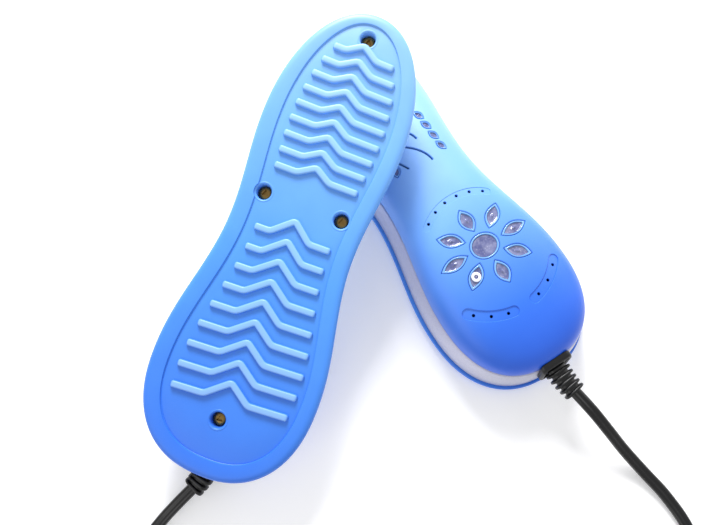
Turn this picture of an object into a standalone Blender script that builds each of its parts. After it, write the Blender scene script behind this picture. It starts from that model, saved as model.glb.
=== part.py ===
"""A pair of electric boot dryers on one cord.

Two identical foot-shaped units: one stands on its sole, the other lies upside down and leans on it.
Each unit is modelled once, upright, by the functions below (+Y to the toe, floor at z = 0) and is
placed by an empty. Sizes are in millimetres; objects are made in metres.
"""
import math

import bmesh
import bpy
import numpy as np
from mathutils import Matrix, Vector

MM = 0.001
GAP = 0.3                       # clearance between neighbouring pieces
POINTS_ROUND = 36               # points around every shell outline
OUTER_RINGS = 7                 # rings on the outside of the dome
INNER_RINGS = 6                 # enough for the windows to lie close under it

# Outline, seen from above.
LENGTH = 210.0
STRETCH = LENGTH / 210.0        # places along the unit follow its length
HEEL_HALF_WIDTH = 37.4
HEEL_WIDEST_Y = -61.7 * STRETCH
WAIST_HALF_WIDTH = 28.4
WAIST_Y = 3.0 * STRETCH
TOE_HALF_WIDTH = 31.9
TOE_WIDEST_Y = 50.0 * STRETCH
HEEL_ROUNDNESS = 2.33           # exponent of the superellipse at the heel
TOE_ROUNDNESS = 2.08

# Sole, from the floor up.
PANEL_Z = 1.6                   # recessed panel between the ribs
RIM_Z = 0.8                     # rim around the panel
TRAY_FLOOR_Z = 3.8              # inside of the sole
LIP_Z = 4.4                     # top of the blue lip
PANEL_INSET = 8.0
PANEL_TOE_INSET = 5.0
PANEL_SIDE_STRETCH = 1.045      # the panel is a little wider on its -X side
TONGUE_INSET = 4.7              # locating wall inside the side band
TONGUE_TOP_Z = 7.5
WALL = 1.8

# Side band and dome.
BAND_INSET = 1.6                # outside of the band at its foot
EDGE_INSET = 5.0                # outside of the band at its top, and of the dome's edge
BAND_TOP_HEEL = 19.0
BAND_TOP_TOE = 14.0
BAND_SLOPES_FROM_Y = -20.0 * STRETCH
CROWN_HEIGHT = 38.0
CROWN_Y = -55.0 * STRETCH
CROWN_SLOPE = 0.085             # fall of the crown line towards the toe
CROWN_SOFTNESS = 15.0
DOME_ROUNDNESS = 2.6

# Ribs on the sole: (y of the rib nearest the toe, pitch, chevron height, chevron half base).
RIB_GROUPS = (
    (85.3 * STRETCH, 7.07 * STRETCH, 4.5, 7.4),
    (1.4 * STRETCH, 9.1 * STRETCH, 7.4, 9.7),
)
RIBS_IN_GROUP = 9
RIB_MARGINS = (2.8, 4.4)        # from a rib's end to the panel's edge, on the -X and +X sides
RIB_FAN = 0.0009                # slope of a rib for each millimetre from the level one
RIB_LEVEL_Y = 30.0 * STRETCH
RIB_WIDTH = 3.0
RIB_CREST_WIDTH = 2.0

# Screws and their wells: one at the toe, two at the waist, one at the heel.
SCREW_SPOTS = {
    "toe": (0.0, 93.4 * STRETCH),
    "waist_a": (17.8, 15.9 * STRETCH),
    "waist_b": (-17.8, 15.9 * STRETCH),
    "heel": (0.0, -80.6 * STRETCH),
}
SCREW_HEAD_RADIUS = 2.8
SCREW_HEAD_HEIGHT = 2.2
SCREW_SHANK_RADIUS = 1.5
SCREW_RECESS_RADIUS = 1.3
SCREW_TIP_Z = 16.5
WELL_BORE_RADIUS = SCREW_HEAD_RADIUS + 0.5
WELL_RADIUS = WELL_BORE_RADIUS + 1.4
WELL_SEAT_Z = 7.5
WELL_TOP_Z = 11.5
BOSS_RADIUS = SCREW_SHANK_RADIUS + 1.5

# Flower window over the heel.
FLOWER_Y = -42.0 * STRETCH
PETALS = 8
PETAL_TIP_RADIUS = 22.2
PETAL_ROOT_RADIUS = 9.3
PETAL_HALF_WIDTH = 3.2
EYE_RADIUS = 6.6
FLOWER_SQUASH = 0.86            # length of the flower along the unit over its width
LAMP_PETAL = 7                  # the petal with a lamp under it, counted from the heel
WINDOW_PLATE_RADIUS = PETAL_TIP_RADIUS + 2.9
WINDOW_THICKNESS = 1.2
WINDOW_GAP = 0.8                # from a window's plate to the inside of the dome
WINDOW_SUNK = 0.35              # the window's top below the dome

# Oval windows along both sides of the instep.
OVAL_X = 12.4
OVAL_FIRST_Y = 9.0 * STRETCH
OVAL_PITCH = 6.2
OVALS = 4
OVAL_LENGTH = 5.2
OVAL_WIDTH = 2.9
OVAL_TURN = math.radians(22)

# Vents in the dome, placed around the flower.
VENT_RADIUS = 0.7
FRONT_VENT_ARC = 26.2
FRONT_VENT_STEP = math.radians(13.6)
HEEL_VENT_ARC = 31.0
HEEL_VENT_ANGLES = tuple(math.radians(a) for a in (15.0, 29.0, 43.0))
HEEL_GROOVE_HALF_WIDTH = 2.2
HEEL_GROOVE_OVERRUN = math.radians(2.0)
GROOVE_DEPTH = 0.5
SLOT_WIDTH = 1.1
INSTEP_SLOTS = (                # each a smooth curve through three points
    ((4.4, 18.0), (2.0, 23.5), (-3.5, 28.0)),
    ((4.6, 5.0), (1.6, 12.6), (-6.0, 19.6)),
    ((-7.2, 7.1), (-8.4, 9.8), (-9.6, 12.0)),
)

# Heater under the toe.
PLATE_START_Y = 27.0 * STRETCH
PLATE_LENGTH = 49.0 * STRETCH
PLATE_WIDTH = 36.0
PLATE_TOP_Z = 10.2
PLATE_THICKNESS = 1.2
HEATER_START_Y = PLATE_START_Y + 7.0
HEATER_SIZE = (21.0, 34.0, 5.0)
CLIP_THICKNESS = 0.8
CLIP_WIDTH = 12.0
CLIP_FOOT = 4.0
FUSE_Y = PLATE_START_Y + 3.2
FUSE_RADIUS = 1.9
FUSE_LENGTH = 11.0

# Lamp board under the flower.
BOARD_SIZE = (28.0, 34.0, 1.6)
BOARD_Y = FLOWER_Y - 3.0
BOARD_Z = 17.0
BOARD_POST_RADIUS = 2.5
BOARD_POST_X = 10.0
LED_RADIUS = 2.5
LED_HEIGHT = 8.0

# Strain relief through the heel.
RELIEF_Z = 18.0
RELIEF_FLANGE = (15.5, 14.0)    # width and height of the outer flange
RELIEF_NECK = (11.0, 9.0)
RELIEF_NECK_LENGTH = WALL + 2.2  # through the wall where it slopes
RELIEF_FLANGE_THICKNESS = 2.6
BOOT_END_Y = -11.0 - LENGTH / 2
BOOT_END_WIDTH = 10.0
BOOT_WIDTH = 11.4
BOOT_FLATNESS = 0.72            # height over width
BOOT_CORE = 0.74                # width between the ribs over width on them
BOOT_RIBS = 5
BOOT_BENDS = {"right_": math.radians(10), "left_": math.radians(24)}  # towards +X

# Cord, its splitter, coil and plug, all lying on the floor.
CORD_WIDTH = 5.4
CORD_RISE = CORD_WIDTH / 2
WIRE_RADIUS = 0.8
SPLITTER_CENTRE = (-80.0, -212.0)
SPLITTER_SIZE = (15.0, 26.0, 7.5)
COIL_CENTRE = (-48.0, -168.0)
COIL_MEAN_RADIUS = 32.0
COIL_BAND = 12.0                # radial width of the wound coil
COIL_FOOT_Z = 1.4
COIL_HEIGHT = 10.6
COIL_LEAVES_AT = math.radians(58)
TIE_WIDTH = 6.0
TIE_THICKNESS = 0.9
TIE_SLACK = 0.9                 # from the coil to the tie, at its sides
TIE_BEARING = math.radians(-60)
PLUG_LEAD = 7.0
PLUG_LENGTH = 35.0
PLUG_WIDTH = 25.0
PLUG_HEIGHT = 13.6
PLUG_PIN_RADIUS = 2.0
PLUG_PIN_LENGTH = 19.0
PLUG_PIN_SPACING = 18.6
RIGHT_LEAD_ROUTE = (
    (64.9, -111.2, 18.0), (66.6, -121.0, 17.0), (68.7, -132.0, 13.0), (71.2, -144.0, 7.6),
    (74.0, -157.0, 4.0), (76.3, -171.0, 2.8), (75.6, -188.0, 2.7), (67.5, -206.0, 2.7),
    (51.0, -221.0, 2.7), (30.0, -233.5, 2.7), (4.0, -244.5, 2.7), (-24.0, -254.5, 2.7),
    (-41.0, -259.0, 2.7), (-53.5, -259.6, 2.7), (-65.0, -255.2, 2.7), (-73.2, -246.0, 2.7),
    (-76.7, -234.5, 2.7), (-76.8, -225.3, 2.7),
)
LEFT_LEAD_ROUTE = (
    (-99.8, -54.7, 8.5), (-109.4, -56.7, 6.7), (-119.4, -59.2, 4.4), (-130.0, -63.2, 3.0),
    (-140.0, -70.0, 2.7), (-148.2, -80.5, 2.7), (-153.6, -94.0, 2.7), (-155.7, -112.0, 2.7),
    (-155.6, -140.0, 2.7), (-154.4, -168.0, 2.7), (-150.0, -194.0, 2.7), (-144.0, -216.0, 2.7),
    (-138.5, -234.0, 2.7), (-132.0, -247.0, 2.7), (-122.5, -256.0, 2.7), (-110.5, -259.2, 2.7),
    (-98.5, -256.6, 2.7), (-88.6, -248.4, 2.7), (-83.6, -236.5, 2.7), (-83.2, -225.3, 2.7),
)

# How the left unit lies: its middle relative to the right unit's, and the way its toe points.
LEFT_OFFSET = (-72.4, 2.8)
LEFT_HEADING = math.radians(36)

BLUE = (0.10, 0.33, 0.90)
SILVER = (0.56, 0.57, 0.63)
BLACK = (0.012, 0.012, 0.014)
CLEAR = (0.55, 0.52, 0.62)


# ---------------------------------------------------------------- outline and dome

def half_width(y):
    """Half the unit's width at y: cosine blends between the three widths, superellipse ends."""
    to_waist = np.clip((y - HEEL_WIDEST_Y) / (WAIST_Y - HEEL_WIDEST_Y), 0, 1)
    to_toe = np.clip((y - WAIST_Y) / (TOE_WIDEST_Y - WAIST_Y), 0, 1)
    heel_blend = (1 - np.cos(np.pi * to_waist)) / 2
    toe_blend = (1 - np.cos(np.pi * to_toe)) / 2
    near_heel = HEEL_HALF_WIDTH + (WAIST_HALF_WIDTH - HEEL_HALF_WIDTH) * heel_blend
    near_toe = WAIST_HALF_WIDTH + (TOE_HALF_WIDTH - WAIST_HALF_WIDTH) * toe_blend
    middle = np.where(y < WAIST_Y, near_heel, near_toe)
    heel_share = np.clip((HEEL_WIDEST_Y - y) / (HEEL_WIDEST_Y + LENGTH / 2), 0, 1)
    toe_share = np.clip((y - TOE_WIDEST_Y) / (LENGTH / 2 - TOE_WIDEST_Y), 0, 1)
    heel_end = (1 - heel_share ** HEEL_ROUNDNESS) ** (1 / HEEL_ROUNDNESS)
    toe_end = (1 - toe_share ** TOE_ROUNDNESS) ** (1 / TOE_ROUNDNESS)
    return middle * heel_end * toe_end


def outline(inset, count=POINTS_ROUND):
    """The outline moved inwards by inset, as x, y points from the toe round by +X."""
    turn = 2 * np.pi * (np.arange(count) + 0.5) / count
    y = LENGTH / 2 * np.cos(turn)
    x = np.sign(np.sin(turn)) * half_width(y)
    points = np.stack([x, y], axis=1)
    along = np.roll(points, -1, axis=0) - np.roll(points, 1, axis=0)
    along /= np.linalg.norm(along, axis=1)[:, None]
    return points - inset * np.stack([-along[:, 1], along[:, 0]], axis=1)


def panel_outline():
    """The recessed panel: a steady inset, stretched at the toe and on the -X side."""
    points = outline(PANEL_INSET)
    points[:, 0] = np.where(points[:, 0] < 0, points[:, 0] * PANEL_SIDE_STRETCH, points[:, 0])
    stretch = (LENGTH / 2 - PANEL_TOE_INSET) / (LENGTH / 2 - PANEL_INSET)
    points[:, 1] = np.where(points[:, 1] > 0, points[:, 1] * stretch, points[:, 1])
    return points


def band_top(y):
    """Height of the side band's top edge, lower towards the toe."""
    share = np.clip((y - BAND_SLOPES_FROM_Y) / (LENGTH / 2 - BAND_SLOPES_FROM_Y), 0, 1)
    return BAND_TOP_HEEL + (BAND_TOP_TOE - BAND_TOP_HEEL) * share


def crown_line(y):
    """Height of the dome along the middle: level at the heel, falling steadily to the toe."""
    past = y - CROWN_Y
    fall = (past + np.sqrt(past ** 2 + CROWN_SOFTNESS ** 2) - CROWN_SOFTNESS) / 2
    return CROWN_HEIGHT - CROWN_SLOPE * fall


def dome_profile(share):
    """Fall of the dome from its middle (share 0) to its edge (share 1)."""
    return np.clip(1 - share ** DOME_ROUNDNESS, 0, 1) ** (1 / DOME_ROUNDNESS)


def outline_reach(x, y, inset):
    """Distance from the middle to the outline moved inwards by inset, in the direction of x, y."""
    edge = outline(inset, 360)
    bearing = np.arctan2(edge[:, 0], edge[:, 1])
    order = np.argsort(bearing)
    distance = np.hypot(edge[order, 0], edge[order, 1])
    return np.interp(np.arctan2(x, y), bearing[order], distance, period=2 * np.pi)


def dome_height(x, y, depth=0.0):
    """Height of the dome at x, y, or of the surface that lies depth inside it."""
    share = np.clip(np.hypot(x, y) / outline_reach(x, y, EDGE_INSET + depth), 0, 1)
    foot = band_top(y) + GAP
    return foot + (crown_line(y) - depth - foot) * dome_profile(share)


def heel_wall_y(z):
    """Y of the outside wall at the middle of the heel, at height z: the band, then the dome."""
    heights = np.linspace(0, 1, 60)
    ys = -(LENGTH / 2 - EDGE_INSET) * (1 - 0.25 * heights ** 2)
    dome = dome_height(np.zeros_like(ys), ys)
    band = -(LENGTH / 2) + BAND_INSET + (EDGE_INSET - BAND_INSET) * (z - LIP_Z) / (BAND_TOP_HEEL - LIP_Z)
    return np.where(z < BAND_TOP_HEEL, band, np.interp(z, dome, ys))


# ---------------------------------------------------------------- making objects

def material(name, colour, roughness, metallic=0.0):
    """A Principled material of one colour."""
    made = bpy.data.materials.get(name) or bpy.data.materials.new(name)
    made.use_nodes = True
    shader = made.node_tree.nodes["Principled BSDF"]
    shader.inputs["Base Color"].default_value = (*colour, 1.0)
    shader.inputs["Roughness"].default_value = roughness
    shader.inputs["Metallic"].default_value = metallic
    made.diffuse_color = (*colour, 1.0)
    return made


def add_object(name, mesh, finish, parent):
    """Put a mesh in the scene under its unit's empty."""
    made = bpy.data.objects.new(name, mesh)
    bpy.context.scene.collection.objects.link(made)
    made.parent = parent
    if finish:
        mesh.materials.append(finish)
    return made


def mesh_from(points, faces, smooth=True):
    """A closed mesh in metres with its faces pointing outwards, all triangles for the exact booleans."""
    mesh = bpy.data.meshes.new("mesh")
    mesh.from_pydata([tuple(p) for p in np.asarray(points, float) * MM], [], faces)
    work = bmesh.new()
    work.from_mesh(mesh)
    bmesh.ops.triangulate(work, faces=work.faces)
    bmesh.ops.recalc_face_normals(work, faces=work.faces)
    work.to_mesh(mesh)
    work.free()
    mesh.polygons.foreach_set("use_smooth", [smooth] * len(mesh.polygons))
    return mesh


def ring_faces(rows, columns, start=0):
    """Quads between neighbouring closed rings of points."""
    faces = []
    for row in range(rows - 1):
        for column in range(columns):
            after = (column + 1) % columns
            low = start + row * columns
            faces.append((low + column, low + after, low + columns + after, low + columns + column))
    return faces


def lofted(rings, closed=False):
    """Points and faces of a body through rings of points: capped at both ends, or closed on itself."""
    columns = len(rings[0])
    rows = list(rings) + ([rings[0]] if closed else [])
    faces = ring_faces(len(rows), columns)
    total = len(rings) * columns
    if closed:
        faces = [tuple(index % total for index in face) for face in faces]
    else:
        faces += [tuple(range(columns))[::-1], tuple(range(total - columns, total))]
    return np.vstack(rings), faces


def at_height(points, z):
    """Points in the plane lifted to z, one number or one for each point."""
    return np.column_stack([points, np.broadcast_to(z, len(points))])


def prism(points, low, high):
    """An upright prism whose ends may follow a surface: each end is a fan round its middle."""
    points = np.asarray(points, float)
    count = len(points)
    middle = points.mean(axis=0, keepdims=True)
    everything = np.vstack([points, middle])
    bottom = at_height(everything, low(everything) if callable(low) else low)
    top = at_height(everything, high(everything) if callable(high) else high)
    faces = []
    for index in range(count):
        after = (index + 1) % count
        faces.append((index, after, count + 1 + after, count + 1 + index))
        faces.append((after, index, count))
        faces.append((count + 1 + index, count + 1 + after, 2 * count + 1))
    return np.vstack([bottom, top]), faces


def joined(solids):
    """Several separate solids as one set of points and faces."""
    points, faces, start = [], [], 0
    for solid_points, solid_faces in solids:
        points.append(solid_points)
        faces += [tuple(start + index for index in face) for face in solid_faces]
        start += len(solid_points)
    return np.vstack(points), faces


def circle(centre, radius, count):
    """Points on a circle."""
    turn = 2 * np.pi * (np.arange(count) + 0.5) / count
    return np.column_stack([centre[0] + radius * np.cos(turn), centre[1] + radius * np.sin(turn)])


def leaf(length, width, count=3):
    """A pointed leaf along X, its two sides the same shallow arc."""
    along = np.linspace(-1, 1, count + 1)
    side = width / 2 * (1 - along ** 2)
    upper = np.column_stack([along * length / 2, side])
    lower = np.column_stack([-along * length / 2, -side])[1:-1]
    return np.vstack([upper, lower])


def turned(points, angle, centre=(0.0, 0.0)):
    """Points turned about the origin and then moved."""
    c, s = math.cos(angle), math.sin(angle)
    return points @ np.array([[c, s], [-s, c]]) + np.asarray(centre)


def ribbon(path, width):
    """The outline of a strip of one width along a path."""
    path = np.asarray(path, float)
    along = np.gradient(path, axis=0)
    along /= np.linalg.norm(along, axis=1)[:, None]
    side = np.column_stack([-along[:, 1], along[:, 0]]) * width / 2
    return np.vstack([path + side, (path - side)[::-1]])


def dome(points, depth=0.0, sunk=0.0):
    """Heights for prism ends that follow the dome."""
    return dome_height(points[:, 0], points[:, 1], depth) - sunk


def hidden_tool(name, solids, parent):
    """A solid that only cuts or joins others."""
    tool = add_object(name, mesh_from(*joined(solids)), None, parent)
    tool.hide_render = True
    tool.display_type = "WIRE"
    return tool


def combine(target, operation, tool):
    """Boolean with the exact solver, left live on the object."""
    step = target.modifiers.new(tool.name, "BOOLEAN")
    step.operation = operation
    step.solver = "EXACT"
    step.object = tool


def tube(name, points, radius, finish, parent, resolution):
    """A capped tube along points in millimetres."""
    curve = bpy.data.curves.new(name, "CURVE")
    curve.dimensions = "3D"
    curve.bevel_depth = radius * MM
    curve.bevel_resolution = resolution
    curve.use_fill_caps = True
    spline = curve.splines.new("POLY")
    spline.points.add(len(points) - 1)
    for point, place in zip(spline.points, points):
        point.co = (*(Vector(place) * MM), 1.0)
    spline.use_smooth = True
    return add_object(name, curve, finish, parent)


def smooth_route(route, spacing):
    """Evenly spaced points on a centripetal Catmull-Rom curve through a hand-chosen route."""
    knots = np.asarray(route, float)
    ends = np.vstack([2 * knots[0] - knots[1], knots, 2 * knots[-1] - knots[-2]])
    dense = []
    for a, b, c, d in zip(ends, ends[1:], ends[2:], ends[3:]):
        steps = [math.sqrt(np.linalg.norm(q - p)) for p, q in ((a, b), (b, c), (c, d))]
        times = np.cumsum([0.0] + steps)
        t = np.linspace(times[1], times[2], 20, endpoint=False)[:, None]
        ab = (times[1] - t) / times[1] * a + t / times[1] * b
        bc = (times[2] - t) / (times[2] - times[1]) * b + (t - times[1]) / (times[2] - times[1]) * c
        cd = (times[3] - t) / (times[3] - times[2]) * c + (t - times[2]) / (times[3] - times[2]) * d
        ac = (times[2] - t) / times[2] * ab + t / times[2] * bc
        bd = (times[3] - t) / (times[3] - times[1]) * bc + (t - times[1]) / (times[3] - times[1]) * cd
        share = (t - times[1]) / (times[2] - times[1])
        dense.append((1 - share) * ac + share * bd)
    dense = np.vstack(dense + [knots[-1:]])
    dense[:, 2] = np.maximum(dense[:, 2], CORD_RISE)
    walked = np.concatenate([[0], np.cumsum(np.linalg.norm(np.diff(dense, axis=0), axis=1))])
    steps = np.linspace(0, walked[-1], max(2, round(walked[-1] / spacing)) + 1)
    return np.column_stack([np.interp(steps, walked, dense[:, axis]) for axis in range(3)])


# ---------------------------------------------------------------- shells of a unit

def rib_outline(y, chevron_height, chevron_half_base):
    """Path of one rib across the sole: straight, chevron towards the toe, straight."""
    edge = panel_outline()
    ends = []
    for side, margin in zip((-1, 1), RIB_MARGINS):
        half = edge[edge[:, 0] * side >= 0]
        half = half[np.argsort(half[:, 1])]
        ends.append(side * (np.interp(y, half[:, 1], np.abs(half[:, 0])) - margin))
    base = min(chevron_half_base, ends[1] * 0.55)
    path = np.array([(ends[0], y), (-base, y), (0, y + chevron_height), (base, y), (ends[1], y)])
    path[:, 1] += RIB_FAN * (y - RIB_LEVEL_Y) * path[:, 0]
    return path


def rib_solid(path):
    """One rib: a trapezoid bar mitred at each bend, standing from the panel to the floor plane."""
    along = np.diff(path, axis=0)
    along /= np.linalg.norm(along, axis=1)[:, None]
    side = np.column_stack([-along[:, 1], along[:, 0]])
    mitre = np.vstack([side[:1], side[:-1] + side[1:], side[-1:]])
    mitre[1:-1] /= (1 + np.sum(side[:-1] * side[1:], axis=1))[:, None]
    foot = PANEL_Z + 0.4 * (TRAY_FLOOR_Z - PANEL_Z)
    corners = ((RIB_WIDTH, foot), (RIB_CREST_WIDTH, 0.0), (-RIB_CREST_WIDTH, 0.0), (-RIB_WIDTH, foot))
    rings = [np.array([(*(p + m * w / 2), z) for w, z in corners]) for p, m in zip(path, mitre)]
    return lofted(rings)


def base_shell(name, parent):
    """Sole tray with lip and tongue, its ribs, screw wells and lamp board posts."""
    steps = ((3.2, RIM_Z + 0.1), (0.9, RIM_Z + 1.0), (0.0, 3.1), (0.4, LIP_Z - 0.3), (BAND_INSET, LIP_Z),
             (TONGUE_INSET, LIP_Z), (TONGUE_INSET, TONGUE_TOP_Z), (TONGUE_INSET + 1.4, TONGUE_TOP_Z),
             (TONGUE_INSET + 1.6, TRAY_FLOOR_Z))
    rings = [at_height(panel_outline(), PANEL_Z), at_height(panel_outline(), RIM_Z)]
    rings += [at_height(outline(inset), z) for inset, z in steps]
    shell = add_object(name, mesh_from(*lofted(rings)), material("blue_soft_touch", BLUE, 0.5), parent)
    ribs = []
    for first_y, pitch, height, half_base in RIB_GROUPS:
        for k in range(RIBS_IN_GROUP):
            ribs.append(rib_solid(rib_outline(first_y - pitch * k, height, half_base)))
    combine(shell, "UNION", hidden_tool(name + "_ribs", ribs, parent))
    buried = (PANEL_Z + TRAY_FLOOR_Z) / 2
    posts = []
    for spot in SCREW_SPOTS.values():
        posts.append(prism(circle(spot, WELL_RADIUS, 12), buried, WELL_TOP_Z))
    for side in (-1, 1):
        place = (side * BOARD_POST_X, BOARD_Y)
        posts.append(prism(circle(place, BOARD_POST_RADIUS, 8), buried, BOARD_Z - GAP))
    combine(shell, "UNION", hidden_tool(name + "_posts", posts, parent))
    bores, holes = [], []
    for spot in SCREW_SPOTS.values():
        bores.append(prism(circle(spot, WELL_BORE_RADIUS, 12), -1.0, WELL_SEAT_Z))
        hole = circle(spot, SCREW_SHANK_RADIUS + GAP, 8)
        holes.append(prism(hole, WELL_SEAT_Z - 1, WELL_TOP_Z + 1))
    combine(shell, "DIFFERENCE", hidden_tool(name + "_bores", bores, parent))
    combine(shell, "DIFFERENCE", hidden_tool(name + "_shank_holes", holes, parent))


def heel_opening(name, parent):
    """Cutter for the opening that the strain relief's neck passes through."""
    width, height = (size + 2 * GAP for size in RELIEF_NECK)
    section = [(-width / 2, RELIEF_Z - height / 2), (width / 2, RELIEF_Z - height / 2),
               (width / 2, RELIEF_Z + height / 2), (-width / 2, RELIEF_Z + height / 2)]
    rings = [np.array([(x, y, z) for x, z in section]) for y in (-LENGTH / 2 - 5, -LENGTH / 2 + 18)]
    return hidden_tool(name, [lofted(rings)], parent)


def side_band(name, parent):
    """Silver band between the sole and the dome."""
    corners = ((BAND_INSET, 0), (EDGE_INSET, 1), (EDGE_INSET + WALL, 1), (BAND_INSET + WALL, 0))
    rings = []
    for inset, at_top in corners:
        points = outline(inset)
        rings.append(at_height(points, band_top(points[:, 1]) if at_top else LIP_Z + GAP))
    silver = material("silver_plastic", SILVER, 0.45)
    band = add_object(name, mesh_from(*lofted(rings, closed=True)), silver, parent)
    combine(band, "DIFFERENCE", heel_opening(name + "_opening", parent))


def dome_rings(depth, count):
    """Rings of the dome, or of the surface depth inside it, from its edge to near its middle."""
    edge = outline(EDGE_INSET + depth)
    rings = []
    for share in np.sin(np.linspace(np.pi / 2, 0, count, endpoint=False)):
        points = edge * share
        foot = band_top(points[:, 1]) + GAP
        z = foot + (crown_line(points[:, 1]) - depth - foot) * dome_profile(share)
        rings.append(at_height(points, z))
    return rings


def flattened(points):
    """Points of the flower, drawn together along the unit."""
    return np.column_stack([points[:, 0], FLOWER_Y + (points[:, 1] - FLOWER_Y) * FLOWER_SQUASH])


def petal_angle(k):
    """Bearing of a petal from the flower's centre, the first one towards the heel."""
    return 2 * np.pi * k / PETALS - np.pi / 2


def petal_outlines(clearance):
    """The eight petals of the flower window, grown by a clearance."""
    length = PETAL_TIP_RADIUS - PETAL_ROOT_RADIUS
    centre = (PETAL_TIP_RADIUS + PETAL_ROOT_RADIUS) / 2
    shape = leaf(length + 3 * clearance, 2 * PETAL_HALF_WIDTH + 2.4 * clearance) + np.array([centre, 0])
    return [flattened(turned(shape, petal_angle(k), (0, FLOWER_Y))) for k in range(PETALS)]


def eye_outline(clearance):
    """The round eye in the middle of the flower."""
    return flattened(circle((0, FLOWER_Y), EYE_RADIUS + clearance, 12))


def oval_outlines(side, clearance):
    """The four oval windows on one side of the instep."""
    shape = leaf(OVAL_LENGTH + 3 * clearance, OVAL_WIDTH + 2.4 * clearance)
    turn = np.pi / 2 + side * OVAL_TURN
    return [turned(shape, turn, (side * OVAL_X, OVAL_FIRST_Y + OVAL_PITCH * k)) for k in range(OVALS)]


def around_flower(radius, angle, towards=1):
    """A point around the flower's centre, its angle counted from the toe or from the heel."""
    return (radius * math.sin(angle), FLOWER_Y + towards * radius * math.cos(angle))


def vent_spots():
    """Centres of all the small round vents."""
    spots = []
    for k in (-2.5, -1.5, -0.5, 0.5, 1.5, 2.5):
        spots.append(around_flower(FRONT_VENT_ARC, FRONT_VENT_STEP * k))
    for side in (-1, 1):
        spots += [around_flower(HEEL_VENT_ARC, side * angle, -1) for angle in HEEL_VENT_ANGLES]
    return spots


def instep_slot(start, middle, end):
    """Outline of a curved slot: a ribbon along the parabola through three points."""
    start, middle, end = (np.array(point) * (1, STRETCH) for point in (start, middle, end))
    bend = 2 * middle - (start + end) / 2
    share = np.linspace(0, 1, 4)[:, None]
    path = (1 - share) ** 2 * start + 2 * share * (1 - share) * bend + share ** 2 * end
    return ribbon(path, SLOT_WIDTH)


def heel_groove(side):
    """Outline of the strip that the heel vents on one side lie in."""
    first = HEEL_VENT_ANGLES[0] - HEEL_GROOVE_OVERRUN
    last = HEEL_VENT_ANGLES[-1] + HEEL_GROOVE_OVERRUN
    path = [around_flower(HEEL_VENT_ARC, side * a, -1) for a in np.linspace(first, last, 4)]
    return ribbon(path, 2 * HEEL_GROOVE_HALF_WIDTH)


def dome_solid():
    """Points and faces of the plain dome, outside and inside, each closed by a fan."""
    outer = dome_rings(0.0, OUTER_RINGS)
    inner = dome_rings(WALL, INNER_RINGS)
    rings = outer[::-1] + inner
    points, faces = lofted(rings)
    faces = faces[:-2]
    top, under = len(points), len(points) + 1
    last = (len(rings) - 1) * POINTS_ROUND
    points = np.vstack([points, (0, 0, dome_height(0, 0)), (0, 0, dome_height(0, 0, WALL))])
    for k in range(POINTS_ROUND):
        after = (k + 1) % POINTS_ROUND
        faces.append((k, after, top))
        faces.append((last + after, last + k, under))
    return points, faces


def groove_floor(points):
    """Heights of the bottom of the heel grooves."""
    return dome(points, 0, GROOVE_DEPTH)


def upper_shell(name, parent):
    """Blue dome with its screw bosses, windows, vents and slots."""
    blue = material("blue_soft_touch", BLUE, 0.5)
    shell = add_object(name, mesh_from(*dome_solid()), blue, parent)
    grooves = [prism(heel_groove(side), groove_floor, CROWN_HEIGHT + 1) for side in (-1, 1)]
    combine(shell, "DIFFERENCE", hidden_tool(name + "_grooves", grooves, parent))
    openings = {
        "flower": petal_outlines(GAP) + [eye_outline(GAP)],
        "ovals": oval_outlines(-1, GAP) + oval_outlines(1, GAP),
        "vents": [circle(spot, VENT_RADIUS, 5) for spot in vent_spots()],
        "slots": [instep_slot(*points) for points in INSTEP_SLOTS],
    }
    for kind, shapes in openings.items():
        cuts = [prism(shape, lambda p: dome(p, WALL, 4.0), CROWN_HEIGHT + 1) for shape in shapes]
        combine(shell, "DIFFERENCE", hidden_tool(name + "_" + kind, cuts, parent))
    combine(shell, "DIFFERENCE", heel_opening(name + "_heel_opening", parent))
    bosses, pilots = [], []
    for spot in SCREW_SPOTS.values():
        boss = circle(spot, BOSS_RADIUS, 9)
        bosses.append(prism(boss, WELL_TOP_Z + GAP, lambda p: dome(p, 0, WALL / 2)))
        pilot = circle(spot, SCREW_SHANK_RADIUS + GAP, 10)
        pilots.append(prism(pilot, WELL_TOP_Z - 1, SCREW_TIP_Z + GAP))
    combine(shell, "UNION", hidden_tool(name + "_bosses", bosses, parent))
    combine(shell, "DIFFERENCE", hidden_tool(name + "_pilots", pilots, parent))


# ---------------------------------------------------------------- windows

def lens(shape):
    """A window lens: from inside its plate up to just below the outside of the dome."""
    depth = WINDOW_GAP + WINDOW_THICKNESS / 2
    return prism(shape, lambda p: dome(p, WALL, depth), lambda p: dome(p, 0, WINDOW_SUNK))


def flower_window(name, parent):
    """Clear plate under the dome with eight petals and a round eye standing up into it."""
    rows = []
    for radius in (WINDOW_PLATE_RADIUS, WINDOW_PLATE_RADIUS * 0.66, WINDOW_PLATE_RADIUS * 0.33):
        rows.append(circle((0, FLOWER_Y), radius, 16))
    above = [at_height(p, dome(p, WALL, WINDOW_GAP)) for p in rows]
    below = [at_height(p, dome(p, WALL, WINDOW_GAP + WINDOW_THICKNESS)) for p in rows]
    clear = material("clear_plastic", CLEAR, 0.15)
    plate = add_object(name, mesh_from(*lofted(above[::-1] + below)), clear, parent)
    lenses = [lens(shape) for shape in petal_outlines(0)]
    lenses.append(lens(eye_outline(0)))
    combine(plate, "UNION", hidden_tool(name + "_lenses", lenses, parent))


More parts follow.
